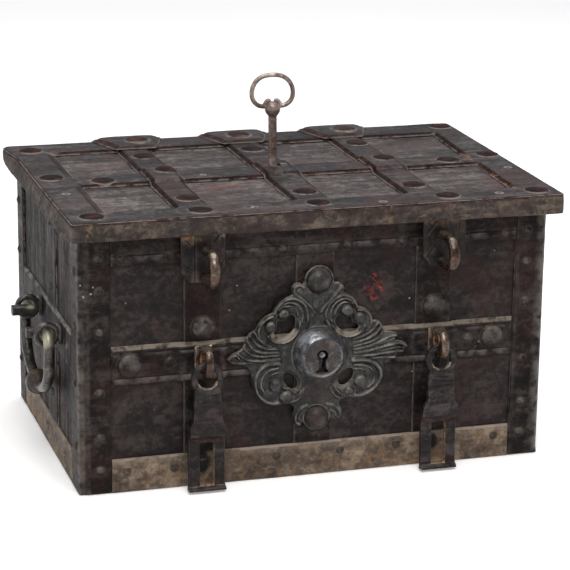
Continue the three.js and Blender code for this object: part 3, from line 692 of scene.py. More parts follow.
def fuse(name, shells, voxel=0.6, smooth=3, minus=()):
    """One closed mesh from overlapping closed shells: cut by minus, voxel remeshed and softened."""
    sh = Shell()
    for v, f in shells:
        sh.add(v, f)
    v, f, _ = sh.arrays()
    ob = bpy.data.objects.new("tmp_" + name, mesh_of("tmp_" + name, v, f, None, None, 1.0))
    bpy.context.scene.collection.objects.link(ob)
    rm = ob.modifiers.new("r", "REMESH")
    rm.mode, rm.voxel_size, rm.adaptivity, rm.use_smooth_shade = "VOXEL", voxel, 0.0, True
    cutters = []
    for k, (cv, cf) in enumerate(minus):
        c = bpy.data.objects.new(f"tmp_cut_{k}", mesh_of(f"tmp_cut_{k}", cv, cf, None, None, 1.0))
        bpy.context.scene.collection.objects.link(c)
        md = ob.modifiers.new(f"b{k}", "BOOLEAN")
        md.operation, md.object, md.solver = "DIFFERENCE", c, "EXACT"
        cutters.append(c)
    if minus:
        rm2 = ob.modifiers.new("r2", "REMESH")
        rm2.mode, rm2.voxel_size, rm2.adaptivity = "VOXEL", voxel, 0.0
    sm = ob.modifiers.new("s", "SMOOTH")
    sm.factor, sm.iterations = 0.5, smooth
    dg = bpy.context.evaluated_depsgraph_get()
    me = bpy.data.meshes.new_from_object(ob.evaluated_get(dg))
    for o in cutters + [ob]:
        old = o.data
        bpy.data.objects.remove(o)
        bpy.data.meshes.remove(old)
    n = len(me.vertices)
    co = np.empty(n * 3, np.float32)
    me.vertices.foreach_get("co", co)
    nn = np.empty(n * 3, np.float32)
    me.vertex_normals.foreach_get("vector", nn)
    e = np.empty(len(me.edges) * 2, np.int32)
    me.edges.foreach_get("vertices", e)
    faces = [tuple(p.vertices) for p in me.polygons]
    bpy.data.meshes.remove(me)
    return co.reshape(-1, 3).astype(float), faces, e.reshape(-1, 2), nn.reshape(-1, 3).astype(float)


def forged(node, shells, mat, voxel=0.6, smooth=3, minus=(), dents=(0.22, 9.0), fine=(0.05, 2.2), wear=(0.02, 0.10), seed=0, edit=None,
           name=None, limit=True, extra=()):
    v, f, e, n = fuse(node, shells, voxel, smooth, minus)
    d = dents[0] * (0.5 + 0.5 * fbm(v, dents[1], seed, 3)) + fine[0] * (0.5 + 0.5 * noise3(v, fine[1], seed + 8))
    v = v - n * d[:, None]
    attrs = {k: np.zeros(len(v)) for k in Shell.KEYS}
    if edit:
        v, attrs = edit(v, n, attrs)
    if limit:
        lo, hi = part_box(node)
        lo, hi = np.array(lo) / MM, np.array(hi) / MM
        v = np.clip(v, lo, hi)
    c = convexity(v, e, n, 2)
    attrs["wear"] = np.maximum(attrs["wear"], sstep(wear[0], wear[1], c))
    f = list(f)
    for ev, ef in extra:
        f += [tuple(int(i) + len(v) for i in face) for face in ef]
        v = np.concatenate([v, ev])
        attrs = {k: np.concatenate([x, np.zeros(len(ev))]) for k, x in attrs.items()}
    me = mesh_of(name or node + "_shape", v, f, attrs, None)
    me.shade_smooth()
    return put(me.name, me, BODY_OF[node], [node], mat)


def worked(node, mat, bevel=0.35, name=None):
    """A copy of a CAD node's own mesh, its edges broken with a small chamfer."""
    src = NODES[node].data
    bm = bmesh.new()
    bm.from_mesh(src)
    bmesh.ops.remove_doubles(bm, verts=bm.verts, dist=1e-6)
    bmesh.ops.dissolve_limit(bm, angle_limit=math.radians(1.0), verts=bm.verts, edges=bm.edges)
    if bevel:
        sharp = [e for e in bm.edges if len(e.link_faces) == 2 and e.calc_face_angle(0) > math.radians(32)]
        bmesh.ops.bevel(bm, geom=sharp, offset=bevel * MM, segments=2, profile=0.6, affect="EDGES", clamp_overlap=True)
    bmesh.ops.triangulate(bm, faces=[f for f in bm.faces if len(f.verts) > 4])
    me = bpy.data.meshes.new(name or node + "_shape")
    bm.to_mesh(me)
    bm.free()
    me.shade_smooth()
    me.set_sharp_from_angle(angle=math.radians(30))
    v, e, n = read(me)
    c = convexity(v, e, n, 0)
    at = me.attributes.new("wear", "FLOAT", "POINT")
    at.data.foreach_set("value", sstep(0.0, 0.5, c).astype(np.float32))
    return put(me.name, me, BODY_OF[node], [node], mat)


# ------------------------------------------------------------------ materials
class Nodes:
    def __init__(self, name):
        self.mat = bpy.data.materials.new(name)
        self.mat.use_nodes = True
        self.t = self.mat.node_tree
        self.t.nodes.clear()
        self.out = self.t.nodes.new("ShaderNodeOutputMaterial")
        self.bsdf = self.t.nodes.new("ShaderNodeBsdfPrincipled")
        self.t.links.new(self.bsdf.outputs[0], self.out.inputs[0])
        tc = self.t.nodes.new("ShaderNodeTexCoord")
        self.co, self.normal = tc.outputs["Object"], tc.outputs["Normal"]

    def _set(self, sock, val):
        if isinstance(val, bpy.types.NodeSocket):
            self.t.links.new(val, sock)
        elif isinstance(val, (tuple, list)) and len(val) == 3 and sock.type == "RGBA":
            sock.default_value = (*val, 1)
        else:
            sock.default_value = val

    def scaled(self, sx, sy, sz):
        n = self.t.nodes.new("ShaderNodeVectorMath")
        n.operation = "MULTIPLY"
        self._set(n.inputs[0], self.co)
        n.inputs[1].default_value = (sx, sy, sz)
        return n.outputs[0]

    def noise(self, scale, detail=3, rough=0.55, distort=0.0, vec=None, off=0.0):
        n = self.t.nodes.new("ShaderNodeTexNoise")
        v = self.co if vec is None else vec
        if off:
            a = self.t.nodes.new("ShaderNodeVectorMath")
            a.operation = "ADD"
            self._set(a.inputs[0], v)
            a.inputs[1].default_value = (off, off * 0.7, off * 1.3)
            v = a.outputs[0]
        self._set(n.inputs["Vector"], v)
        n.inputs["Scale"].default_value = scale
        n.inputs["Detail"].default_value = detail
        n.inputs["Roughness"].default_value = rough
        n.inputs["Distortion"].default_value = distort
        return n.outputs["Fac"]

    def voronoi(self, scale, feature="F1", vec=None, rand=1.0):
        n = self.t.nodes.new("ShaderNodeTexVoronoi")
        n.feature = feature
        self._set(n.inputs["Vector"], self.co if vec is None else vec)
        n.inputs["Scale"].default_value = scale
        n.inputs["Randomness"].default_value = rand
        return n.outputs["Distance"]

    def attr(self, name):
        n = self.t.nodes.new("ShaderNodeAttribute")
        n.attribute_name = name
        return n.outputs["Fac"]

    def math(self, op, a, b=0.0, clamp=False):
        n = self.t.nodes.new("ShaderNodeMath")
        n.operation = op
        n.use_clamp = clamp
        self._set(n.inputs[0], a)
        self._set(n.inputs[1], b)
        return n.outputs[0]

    def range(self, x, a, b, c=0.0, d=1.0, kind="SMOOTHSTEP"):
        n = self.t.nodes.new("ShaderNodeMapRange")
        n.interpolation_type = kind
        self._set(n.inputs["Value"], x)
        n.inputs["From Min"].default_value = a
        n.inputs["From Max"].default_value = b
        n.inputs["To Min"].default_value = c
        n.inputs["To Max"].default_value = d
        return n.outputs["Result"]

    def mix(self, fac, a, b, blend="MIX"):
        n = self.t.nodes.new("ShaderNodeMix")
        n.data_type = "RGBA"
        n.blend_type = blend
        self._set(n.inputs[0], fac)
        self._set(n.inputs[6], a)
        self._set(n.inputs[7], b)
        return n.outputs[2]

    def axis(self, vec, k):
        n = self.t.nodes.new("ShaderNodeSeparateXYZ")
        self._set(n.inputs[0], vec)
        return n.outputs[k]

    def oval(self, x0, y0, ax, ay, edge=1.0, core=0.7, on_front=False):
        """1 inside an oval in x and y (or x and z), in mm, fading between core and edge."""
        x, y = self.axis(self.co, 0), self.axis(self.co, 2 if on_front else 1)
        dx = self.math("DIVIDE", self.math("SUBTRACT", x, x0 * MM), ax * MM)
        dy = self.math("DIVIDE", self.math("SUBTRACT", y, y0 * MM), ay * MM)
        d = self.math("SQRT", self.math("ADD", self.math("MULTIPLY", dx, dx), self.math("MULTIPLY", dy, dy)))
        m = self.range(d, edge, core)
        return self.math("MULTIPLY", m, self.range(self.axis(self.co, 1), -0.118, -0.124)) if on_front else m

    def bump(self, height, dist, strength=1.0, normal=None):
        n = self.t.nodes.new("ShaderNodeBump")
        n.inputs["Strength"].default_value = strength
        n.inputs["Distance"].default_value = dist
        self._set(n.inputs["Height"], height)
        if normal is not None:
            self._set(n.inputs["Normal"], normal)
        return n.outputs[0]


def srgb(r, g, b):
    f = lambda c: ((c / 255 + 0.055) / 1.055) ** 2.4 if c > 10 else c / 255 / 12.92
    return (f(r), f(g), f(b))


def iron(name, dark, mid, light, red=0.35, rust=0.3, rust_col=(120, 78, 42), dust=0.5, dust_col=(150, 138, 124), grain=None, grain_amt=0.5,
         rough=(0.42, 0.68), metallic=0.35, wear_col=(118, 108, 100), wear=0.6, specks=0.3, tint=(62, 38, 34), up_dust=0.6, bump=1.0,
         low_ochre=0.0, spec=0.5, paint=False, spread=0.17, marks=(), blush=(), ochre=(), dark_at=(), tones=((40, 23, 21), (78, 56, 48)), scuff=0.4, burnt=0.6):
    """Old iron: blotchy patina, streaks along the work, red-brown stains, rust, dust on ledges, bare edges and specks."""
    g = Nodes(name)
    big = g.noise(9, 3, 0.6, 0.6)
    mids = g.noise(46, 5, 0.62, 0.3, off=3.1)
    mott = g.noise(150, 4, 0.6, 0.4, off=13.7)
    fine = g.noise(330, 4, 0.65, 0.0, off=7.7)
    gx, gy, gz = grain or (1, 1, 1)
    streak = g.noise(60, 5, 0.62, 0.15, vec=g.scaled(gx, gy, gz), off=1.9)
    streak2 = g.noise(210, 4, 0.6, 0.0, vec=g.scaled(gx, gy, gz), off=5.3)
    parts = ((big, 0.34), (mids, 0.38), (mott, 0.42), (streak, grain_amt * 0.8), (streak2, grain_amt * 0.4), (fine, 0.22))
    v, mean = None, 0.0
    for src, wt in parts:
        q = g.math("MULTIPLY", src, wt)
        v = q if v is None else g.math("ADD", v, q)
        mean += 0.5 * wt
    t = g.range(v, mean - spread, mean + spread, 0, 1, "LINEAR")
    col = g.mix(g.range(t, 0.0, 0.55, kind="LINEAR"), srgb(*dark), srgb(*mid))
    col = g.mix(g.range(t, 0.5, 1.0, kind="LINEAR"), col, srgb(*light))
    stain = g.range(g.noise(17, 4, 0.6, 0.8, off=11.0), 0.47, 0.66)
    col = g.mix(g.math("MULTIPLY", stain, red), col, srgb(*tint))
    # dark burnt patches and rubbed, lighter scuffs along the work
    dp = g.math("MULTIPLY", g.range(g.noise(72, 5, 0.7, 0.4, off=83.0), 0.52, 0.66), burnt)
    col = g.mix(dp, col, srgb(*[0.62 * c for c in dark]))
    ls = g.math("MULTIPLY", g.range(g.noise(120, 5, 0.7, 0.0, vec=g.scaled(gx, gy, gz), off=87.0), 0.57, 0.66), g.range(g.noise(15, 3, 0.5, 0.0, off=89.0), 0.42, 0.6))
    col = g.mix(g.math("MULTIPLY", ls, scuff), col, srgb(*[min(255, 1.28 * c) for c in light]))
    for x0, y0, ax, ay, rgb in blush:
        m = g.math("MULTIPLY", g.oval(x0, y0, ax, ay, 1.0, 0.35), g.range(g.noise(150, 4, 0.65, 0.3, off=91.0), 0.44, 0.6))
        col = g.mix(m, col, srgb(*rgb))
    # tone: a darker red-brown wherever a piece sets it; on chamfers that face front or left, on the lid band's upper
    # seam and under the hasps' jog it is painted shade
    tone = g.math("MULTIPLY", g.attr("tone"), g.range(g.noise(64, 4, 0.6, 0.3, off=71.0), 0.34, 0.52, 0.78, 1.0))
    tn = g.mix(g.range(g.noise(105, 5, 0.65, 0.4, off=19.0), 0.46, 0.62), srgb(*tones[0]), srgb(*tones[1]))
    col = g.mix(tone, col, tn)
    # rust flecks and blooms
    rb = g.range(g.noise(33, 6, 0.7, 0.5, off=23.0), 0.56, 0.70)
    rf = g.range(g.noise(140, 4, 0.7, 0.0, off=29.0), 0.52, 0.66)
    ru = g.math("MULTIPLY", g.math("MULTIPLY", rb, rf), rust)
    ru = g.math("ADD", ru, g.math("MULTIPLY", g.attr("rust"), g.range(fine, 0.35, 0.6)), True)
    for x0, y0, ax, ay in ochre:
        m = g.math("MULTIPLY", g.oval(x0, y0, ax, ay, 1.0, 0.7), g.range(g.noise(170, 5, 0.7, 0.3, off=93.0), 0.5, 0.58))
        ru = g.math("ADD", ru, m, True)
    if low_ochre:
        z = g.axis(g.co, 2)
        low = g.range(z, 0.055, 0.0)
        ru = g.math("ADD", ru, g.math("MULTIPLY", g.math("MULTIPLY", low, g.range(g.noise(110, 5, 0.7, 0.3, off=31.0), 0.5, 0.64)), low_ochre), True)
    col = g.mix(ru, col, srgb(*rust_col))
    # worn edges, less on those that look down
    nz = g.axis(g.normal, 2)
    w = g.math("MULTIPLY", g.attr("wear"), g.range(g.noise(95, 4, 0.6, 0.0, off=37.0), 0.34, 0.62))
    w = g.math("MULTIPLY", w, g.range(nz, -0.4, 0.1, 0.15, 1.0))
    w = g.math("MULTIPLY", g.math("MULTIPLY", w, wear), g.range(tone, 0.0, 1.0, 1.0, 0.15))
    col = g.mix(w, col, srgb(*wear_col))
    # dust: on ledges that look up, and where it has been painted
    led = g.range(nz, 0.45, 0.9)
    dn = g.range(g.noise(120, 4, 0.6, 0.2, off=41.0), 0.3, 0.65)
    du = g.math("MULTIPLY", g.math("MULTIPLY", led, up_dust), dn)
    du = g.math("MAXIMUM", du, g.math("MULTIPLY", g.attr("dust"), g.range(g.noise(75, 4, 0.65, 0.2, off=43.0), 0.34, 0.56)))
    du = g.math("MULTIPLY", du, dust, True)
    col = g.mix(du, col, srgb(*dust_col))
    # small light specks and dark pits
    sp = g.range(g.voronoi(95), 0.085, 0.05)
    sp = g.math("MULTIPLY", sp, g.range(g.noise(23, 2, 0.5, 0.0, off=47.0), 0.58, 0.66))
    col = g.mix(g.math("MULTIPLY", sp, specks), col, srgb(165, 158, 150))
    pit = g.range(g.voronoi(260), 0.20, 0.08)
    pit = g.math("MULTIPLY", pit, g.range(g.noise(40, 3, 0.6, 0.0, off=53.0), 0.5, 0.62))
    col = g.mix(g.math("MULTIPLY", pit, 0.6), col, srgb(18, 15, 14))
    for x0, y0, ax, ay, on_front in marks:
        ring = g.oval(x0, y0, ax * (0.9 if on_front else 1.35), ay * (0.9 if on_front else 1.35), 1.0, 0.82, on_front)
        core = g.oval(x0, y0, ax * 0.75, ay * 0.75, 1.0, 0.75, on_front)
        col = g.mix(g.math("MULTIPLY", ring, 0.6), col, srgb(150, 144, 138))
        col = g.mix(core, col, srgb(126, 120, 114) if on_front else srgb(74, 68, 66))
    # painted shade: near-black ovals where shadow falls, behind the hasps on the foot strap and in and around the lid's
    # keyhole
    for x0, y0, ax, ay, on_front in dark_at:
        m = g.math("MULTIPLY", g.oval(x0, y0, ax, ay, 1.0, 0.55, on_front), g.range(g.noise(140, 4, 0.6, 0.3, off=97.0), 0.30, 0.46))
        col = g.mix(m, col, srgb(13, 10, 9))
    if paint:
        pn = g.noise(165, 5, 0.72, 0.5, off=59.0)
        for x0, z0, ax, az, k in ((53.7, 186.0, 4.2, 3.6, 0.7), (60.0, 173.5, 4.2, 4.6, 1.0), (50.4, 173.5, 3.2, 4.0, 0.7), (55.2, 166.0, 5.0, 4.4, 0.7), (46.7, 176.0, 2.6, 3.0, 0.45), (56.0, 176.0, 11.0, 15.0, 0.3)):
            m = g.math("MULTIPLY", g.oval(x0, z0, ax, az, 1.0, 0.25, True), g.range(pn, 0.47, 0.56))
            col = g.mix(g.math("MULTIPLY", m, k), col, srgb(156, 58, 42))
    g._set(g.bsdf.inputs["Base Color"], col)
    r = g.math("ADD", g.math("MULTIPLY", mids, 0.5), g.math("MULTIPLY", streak2, 0.5))
    r = g.range(r, 0.36, 0.64, rough[0], rough[1], "LINEAR")
    r = g.math("ADD", r, g.math("MULTIPLY", du, 0.25))
    r = g.math("ADD", r, g.math("MULTIPLY", ru, 0.2), True)
    r = g.math("ADD", r, g.math("MULTIPLY", dp, 0.15), True)
    r = g.math("ADD", r, g.math("MULTIPLY", tone, 0.25), True)
    r = g.math("SUBTRACT", r, g.math("MULTIPLY", w, 0.12), True)
    g._set(g.bsdf.inputs["Roughness"], r)
    g.bsdf.inputs["Metallic"].default_value = metallic
    g.bsdf.inputs["Specular IOR Level"].default_value = spec
    n1 = g.bump(g.noise(26, 3, 0.5, 0.2, off=61.0), 0.0011 * bump, 0.8)
    h = g.math("ADD", g.math("MULTIPLY", streak, 0.6 * grain_amt), g.math("MULTIPLY", mott, 0.6))
    n2 = g.bump(h, 0.0009 * bump, 0.9, n1)
    n3 = g.bump(g.math("SUBTRACT", fine, g.math("MULTIPLY", pit, 0.8)), 0.00026 * bump, 0.9, n2)
    g._set(g.bsdf.inputs["Normal"], n3)
    return g.mat


LID_MARKS = [(-211.6, -45.7, 3.4, 3.2, False), (216.7, -45.3, 3.4, 3.2, False), (171.9, -135.4, 3.6, 3.4, False), (-73.2, -5.6, 2.6, 2.8, False), (58.1, -140.5, 3.4, 3.0, False), (-161, -60, 1.5, 2.2, False)]
LID = dict(rust=0.2, grain=(0.14, 1.5, 1.5), grain_amt=0.65, up_dust=0.0, dust=0.95, wear_col=(122, 116, 110), specks=0.15)
# painted shade in and around the lid's keyhole: over the slot right of the key and round the hole at its stem
KEYSLOT_SHADE = [(3.6, 5.0, 2.9, 12.5, False), (-2.5, 4.0, 5.4, 6.0, False)]
MAT = {
    "wall": iron("wall_iron", (18, 14, 14), (35, 29, 28), (58, 50, 48), spec=0.2, burnt=0.25, scuff=0.25, red=0.45, rust=0.25, grain=(0.4, 0.5, 1.2), grain_amt=0.5, paint=True, tint=(45, 25, 23), specks=0.85, spread=0.13,
                 marks=[(-74.8, 186.3, 0.9, 0.9, True), (-81.8, 163.6, 0.9, 0.9, True), (89.3, 162.5, 1.0, 1.0, True)]),
    "side": iron("side_iron", (13, 11, 10), (30, 27, 26), (76, 71, 68), spec=0.12, rough=(0.55, 0.8), red=0.3, rust=0.2, grain=(1.8, 1.8, 0.12), grain_amt=1.3, spread=0.17, specks=0.8, scuff=0.7),
    "strap": iron("strap_iron", (13, 10, 10), (29, 24, 23), (55, 49, 46), spec=0.12, burnt=0.3, scuff=0.25, red=0.45, rust=0.25, grain=(0.25, 0.25, 1.4), grain_amt=0.6, tint=(46, 26, 24), wear=0.5, wear_col=(124, 118, 113), specks=0.75,
                  spread=0.13, marks=[(-215.5, 186.5, 1.3, 1.3, True), (-209, 189, 1.6, 1.2, True), (-207, 195, 1.1, 1.1, True), (-218, 197, 0.9, 1.2, True)]),
    "sidestrap": iron("side_strap_iron", (13, 11, 10), (30, 27, 26), (76, 71, 68), spec=0.15, rough=(0.52, 0.78), red=0.35, rust=0.2, grain=(1.8, 1.8, 0.12), grain_amt=1.2, spread=0.17, specks=0.8, wear=0.6,
                      wear_col=(150, 148, 145), dust=0.85, dust_col=(138, 134, 130), scuff=0.7),
    "foot": iron("foot_iron", (48, 39, 32), (90, 77, 65), (134, 118, 100), tones=((22, 17, 15), (52, 42, 36)), spec=0.3, burnt=0.3, scuff=0.25, red=0.25, rust=0.6, rust_col=(122, 90, 58), grain=(0.4, 0.4, 1.0), grain_amt=0.5,
                 # painted shadow on the foot strap behind the two hasps
                 rough=(0.55, 0.8), metallic=0.1, dust=0.7, low_ochre=0.55, tint=(60, 42, 35), spread=0.14, dark_at=[(-107.5, 22, 9.5, 15, True), (114.5, 22, 7.5, 10, True)]),
    "lid": iron("lid_iron", (30, 26, 26), (58, 53, 52), (94, 89, 88), rough=(0.40, 0.62), metallic=0.35, red=0.35, tint=(74, 52, 48), dust_col=(150, 140, 130), wear=0.3, **LID),
    "lidtop": iron("lid_strap_iron", (22, 16, 16), (46, 40, 39), (84, 77, 75), spec=0.18, burnt=0.35, rough=(0.40, 0.62), metallic=0.35, marks=LID_MARKS, ochre=[(193, -82, 5.5, 34), (194, 10, 4.5, 26)],
                   blush=[(-60, -40, 26, 13, (112, 60, 54)), (-61, -131, 11, 5, (140, 134, 130)), (-4, 2, 17, 16, (70, 47, 41))], dark_at=KEYSLOT_SHADE, red=0.6, tint=(64, 43, 40),
                   dust_col=(138, 130, 123), wear=0.3, spread=0.14, tones=((20, 7, 6), (54, 26, 22)), **LID),
    "lidplate": iron("lid_plate_iron", (31, 25, 24), (65, 57, 54), (108, 100, 97), spec=0.3, burnt=0.35, rough=(0.42, 0.64), metallic=0.3, marks=LID_MARKS[-1:],
                     blush=[(-58, -40, 30, 14, (112, 60, 54)), (-150, 70, 30, 18, (84, 60, 54))], red=0.5, tint=(76, 54, 49), dust_col=(150, 140, 130), wear=0.4, spread=0.15, **LID),
    "leaf": iron("leaf_iron", (23, 18, 18), (47, 41, 40), (82, 76, 74), spec=0.22, burnt=0.35, rough=(0.38, 0.6), metallic=0.35, red=0.3, tint=(58, 40, 38), dust_col=(140, 132, 124), wear=0.25,
                 tones=((38, 19, 17), (70, 46, 40)), **LID),
    "band": iron("lid_band_iron", (24, 19, 17), (55, 46, 41), (96, 84, 73), spec=0.3, red=0.45, rust=1.0, rust_col=(98, 76, 56), grain=(0.3, 0.3, 1.2), grain_amt=0.5,
                 rough=(0.55, 0.8), metallic=0.12, dust=0.4, wear=0.3, wear_col=(110, 100, 88), tint=(50, 32, 28), spread=0.14, ochre=[(-214, -150, 4, 40), (60, -150, 4, 30)]),
    "worn": iron("worn_iron", (30, 21, 18), (60, 44, 36), (112, 90, 74), red=0.35, rust=0.15, rust_col=(140, 98, 58), rough=(0.15, 0.32), metallic=0.75,
                 wear_col=(168, 156, 140), grain_amt=0.3, up_dust=0.1, spec=0.6, tones=((17, 14, 14), (38, 33, 32))),
    "handle": iron("handle_iron", (26, 24, 23), (56, 53, 50), (112, 108, 101), red=0.3, rust=0.25, rust_col=(110, 78, 52), rough=(0.25, 0.45), metallic=0.6,
                   wear_col=(132, 129, 122), wear=0.7, grain_amt=0.3, up_dust=0.1, spec=0.5, tones=((34, 26, 24), (66, 54, 47)), dust_col=(190, 182, 154)),
    "hasp": iron("hasp_iron", (12, 9, 10), (30, 25, 25), (62, 54, 53), spec=0.3, red=0.45, rust=0.35, rust_col=(150, 118, 84), rough=(0.34, 0.56), metallic=0.4,
                 grain=(0.4, 0.4, 1.6), grain_amt=0.7, up_dust=0.25, tint=(42, 26, 27), wear=0.5, wear_col=(104, 96, 92), spread=0.13, dust_col=(186, 172, 150)),
    "relief": iron("relief_iron", (17, 16, 15), (38, 37, 36), (76, 75, 72), spec=0.35, red=0.35, rust=0.2, rough=(0.34, 0.56), metallic=0.35, wear_col=(126, 123, 117), wear=0.6,
                   grain_amt=0.2, up_dust=0.25, tint=(50, 33, 30), tones=((44, 31, 28), (72, 58, 53)), dust_col=(164, 153, 138), dust=0.6),
    "boss": iron("boss_iron", (36, 35, 36), (80, 80, 83), (132, 134, 139), red=0.2, rust=0.05, rust_col=(40, 19, 15), rough=(0.2, 0.4), metallic=0.65, wear_col=(186, 190, 196), wear=0.85,
                 grain_amt=0.2, up_dust=0.25, tones=((50, 44, 41), (90, 81, 75))),
    "lock": iron("lock_steel", (60, 56, 52), (104, 98, 92), (150, 144, 136), red=0.15, rust=0.4, rough=(0.28, 0.5), metallic=0.8, grain=(0.1, 1.4, 1.4), grain_amt=0.6,
                 up_dust=0.0, spec=0.5),
    "key": iron("key_steel", (66, 52, 47), (128, 110, 101), (190, 172, 162), red=0.3, rust=0.3, rough=(0.25, 0.45), metallic=0.4, grain=(1.4, 1.4, 0.2), grain_amt=0.6,
                up_dust=0.0, tint=(84, 58, 52)),
}

# ------------------------------------------------------------------ sizes shared with the construction, mm
BX, BYF, BYB, BZ = 221.5, -134.0, 151.0, 250.6
WX, WYF, WYB = 218.5, -131.0, 148.0
CORNER, SX = 30.5, 191.0
UPRIGHTS = [(-124.5, -90.0), (-20.5, 16.0), (94.5, 129.0)]
LID_TOP = 258.4
CROSS = [(-128.5, -94.5), (-19.0, 18.5), (87.0, 123.5)]
LMY0, LMY1 = -19.5, 17.5
OX0, OY0, OY1, OX1 = -190.5, -115.0, 113.0, (191.0, 194.3, 199.0)
KEY_X, KEY_Y = -2.5, 4.0


# ------------------------------------------------------------------ walls
def wall(node, outline, place, mat, thick=3.0, seed=0):
    return piece(node, plate([outline], place, thick, cell=8, bevel=0.6, wav=0.0, dents=(0.5, 46.0), fine=0.1, dense_back=True, seed=seed, step=8), mat, wear=None)


wall("front_plate", rect(-WX, WX, 3, BZ), front_at(WYF + 3), MAT["wall"], seed=1)
wall("back_plate", rect(-WX, WX, 3, BZ), back_at(WYB - 3), MAT["wall"], seed=2)
wall("left_plate", rect(-WYB + 3, -WYF - 3, 3, BZ), left_at(-WX + 3), MAT["side"], seed=3)
wall("right_plate", rect(WYF + 3, WYB - 3, 3, BZ), right_at(WX - 3), MAT["side"], seed=4)
wall("bottom_plate", rect(WYF, WYB, -WX, WX), under_at(3), MAT["foot"], seed=5)
piece("rim_flange", plate([rect(-WX + 3, WX - 3, WYF + 3, WYB - 3), rect(-203, 203, -116, 133)], top_at(241), 3.0, cell=7, bevel=[0.4, 1.0], wav=0.3, seed=6),
      MAT["lid"])

# corner angles: a strip bent round each vertical corner
FR, SR = [22.5, 53, 95.5, 152, 190, 220], [45, 104, 157, 207]

for nm, sx, sy in (("front_left", -1, -1), ("front_right", 1, -1), ("back_left", -1, 1), ("back_right", 1, 1)):
    # the strip must turn so that outwards is to the right of u
    leg, bend = CORNER - 3.0, 4.0
    first_front = (sx > 0 and sy < 0) or (sx < 0 and sy > 0)

    def place(u, v, h, sx=sx, sy=sy, first_front=first_front, leg=leg, bend=bend):
        u, v, h = np.asarray(u, float), np.asarray(v, float), np.asarray(h, float)
        s, t, w = np.clip(u, 0, leg), np.clip((u - leg) / bend, 0, 1) * math.pi / 2, np.clip(u - leg - bend, 0, None)
        k = 1.0 / np.maximum(np.cos(t), np.sin(t)) ** 0.6
        c = np.array((sx * WX, WYF if sy < 0 else WYB))
        if first_front:
            n0, n1, d0, d1 = np.array((0.0, sy)), np.array((float(sx), 0.0)), np.array((float(sx), 0.0)), np.array((0.0, float(-sy)))
        else:
            n0, n1, d0, d1 = np.array((float(sx), 0.0)), np.array((0.0, float(sy))), np.array((0.0, float(sy))), np.array((float(-sx), 0.0))
        n = np.cos(t)[:, None] * n0 + np.sin(t)[:, None] * n1
        pos = c - d0 * (leg - s)[:, None] + d1 * w[:, None] + n * (h * k)[:, None]
        return np.stack([pos[:, 0], pos[:, 1], v], 1)

    total = 2 * leg + bend
    uf = (leg - (WX - 202)) if first_front else (leg + bend + (WX - 202))
    us = (leg + bend + 9.0) if first_front else (leg - 9.0)
    rv = [(uf, z, 4, 2.2) for z in FR] + [(us, z, 4, 2.2) for z in SR]
    near = leg + bend
    turn = (lambda u, v: 1.9 * sstep(leg - 0.5, near, u) * sstep(near + 5.8, near + 0.6, u)) if nm == "front_left" else None
    sh = plate([rect(0, total, 0, 250)], place, 3.0, cell=2.4 if turn else 4.0, bevel=1.0, wav=0.5, dents=(0.6, 26.0), fine=0.12, rivets=rv, seed=10 + sx + 3 * sy, rivet_dust=0.5, rivet_wear=1.0, lower=turn)
    if turn:  # the bent edge is rubbed bare
        c = sh.v[0]
        sh.a["wear"][0] = np.maximum(sh.a["wear"][0], 0.5 * sstep(-215.6, -217.0, c[:, 0]) * sstep(-129.5, -131.5, c[:, 1]) * sstep(235, 200, c[:, 2]) * (0.4 + 0.6 * sstep(-0.3, 0.4, noise3(c, 9.0, 77))))
        low = sstep(-214.6, -216.4, c[:, 0]) * sstep(-129.5, -131.5, c[:, 1]) * sstep(150, 105, c[:, 2])
        sh.a["dust"][0] = np.maximum(sh.a["dust"][0], 0.4 * low * (0.5 + 0.5 * sstep(-0.3, 0.3, noise3(c, 11.0, 78))))
    piece(f"corner_angle_{nm}", sh, MAT["strap"])

# ------------------------------------------------------------------ straps of the front
up_lift = lambda u, v: 2.5 * np.any([(u > a - 0.3) & (u < b + 0.3) for a, b in UPRIGHTS], 0)


def over_uprights(u, v):
    """The middle strap lies 1.3 mm lower between the uprights than where it passes over them."""
    k = np.zeros(len(u))
    for a, b in UPRIGHTS:
        k = np.maximum(k, sstep(a - 9, a - 1, u) * sstep(b + 9, b + 1, u))
    return 1.3 * (1 - k)


def ledge(b, d, dust=1.0, other=(1.2, 1.1)):
    """Straps on upright faces: a broad hammered upper edge that holds dust."""
    def f(nx, ny, k):
        up = ny > 0.7
        return np.where(up, b, other[0]), np.where(up, d, other[1]), np.where(up, dust, 0.0), 0.0 * nx
    return f


piece("front_top_strap", plate([rect(-SX, SX, 212, 248)], front_at(WYF), 3.4, cell=5, bevel=1.0, dents=(0.4, 30.0), seed=20, rivet_dust=0.4, rivet_wear=1.0,
      rivets=[(x, 218.5, 4, 2.2) for x in (-182, -137.5, -34, 26.5, 80, 140, 179)], grooves=[(-190, 221.5, 190, 221.5, 0.9, 0.5)]), MAT["strap"])
mid_out = [(-SX, 101), (SX, 101), (SX, 138), (-SX, 138)]
piece("front_middle_strap", plate([mid_out], front_at(WYF), 4.6, cell=4, bevel=ledge(3.6, 2.9), dents=(0.4, 26.0), lower=over_uprights, raise_by=up_lift, seed=21, step=2.0,
      rivets=[(-174.8, 120.5, 11.2, 6.5), (170.2, 120.5, 11.2, 6.5), (-137.5, 120.5, 4, 2.2), (145.8, 120.5, 4, 2.2)], rivet_dust=0.4, rivet_wear=1.0,
      grooves=[(-190, 131.5, 190, 131.5, 0.9, 0.55), (-190, 108.5, 190, 108.5, 0.9, 0.5)]), MAT["strap"])
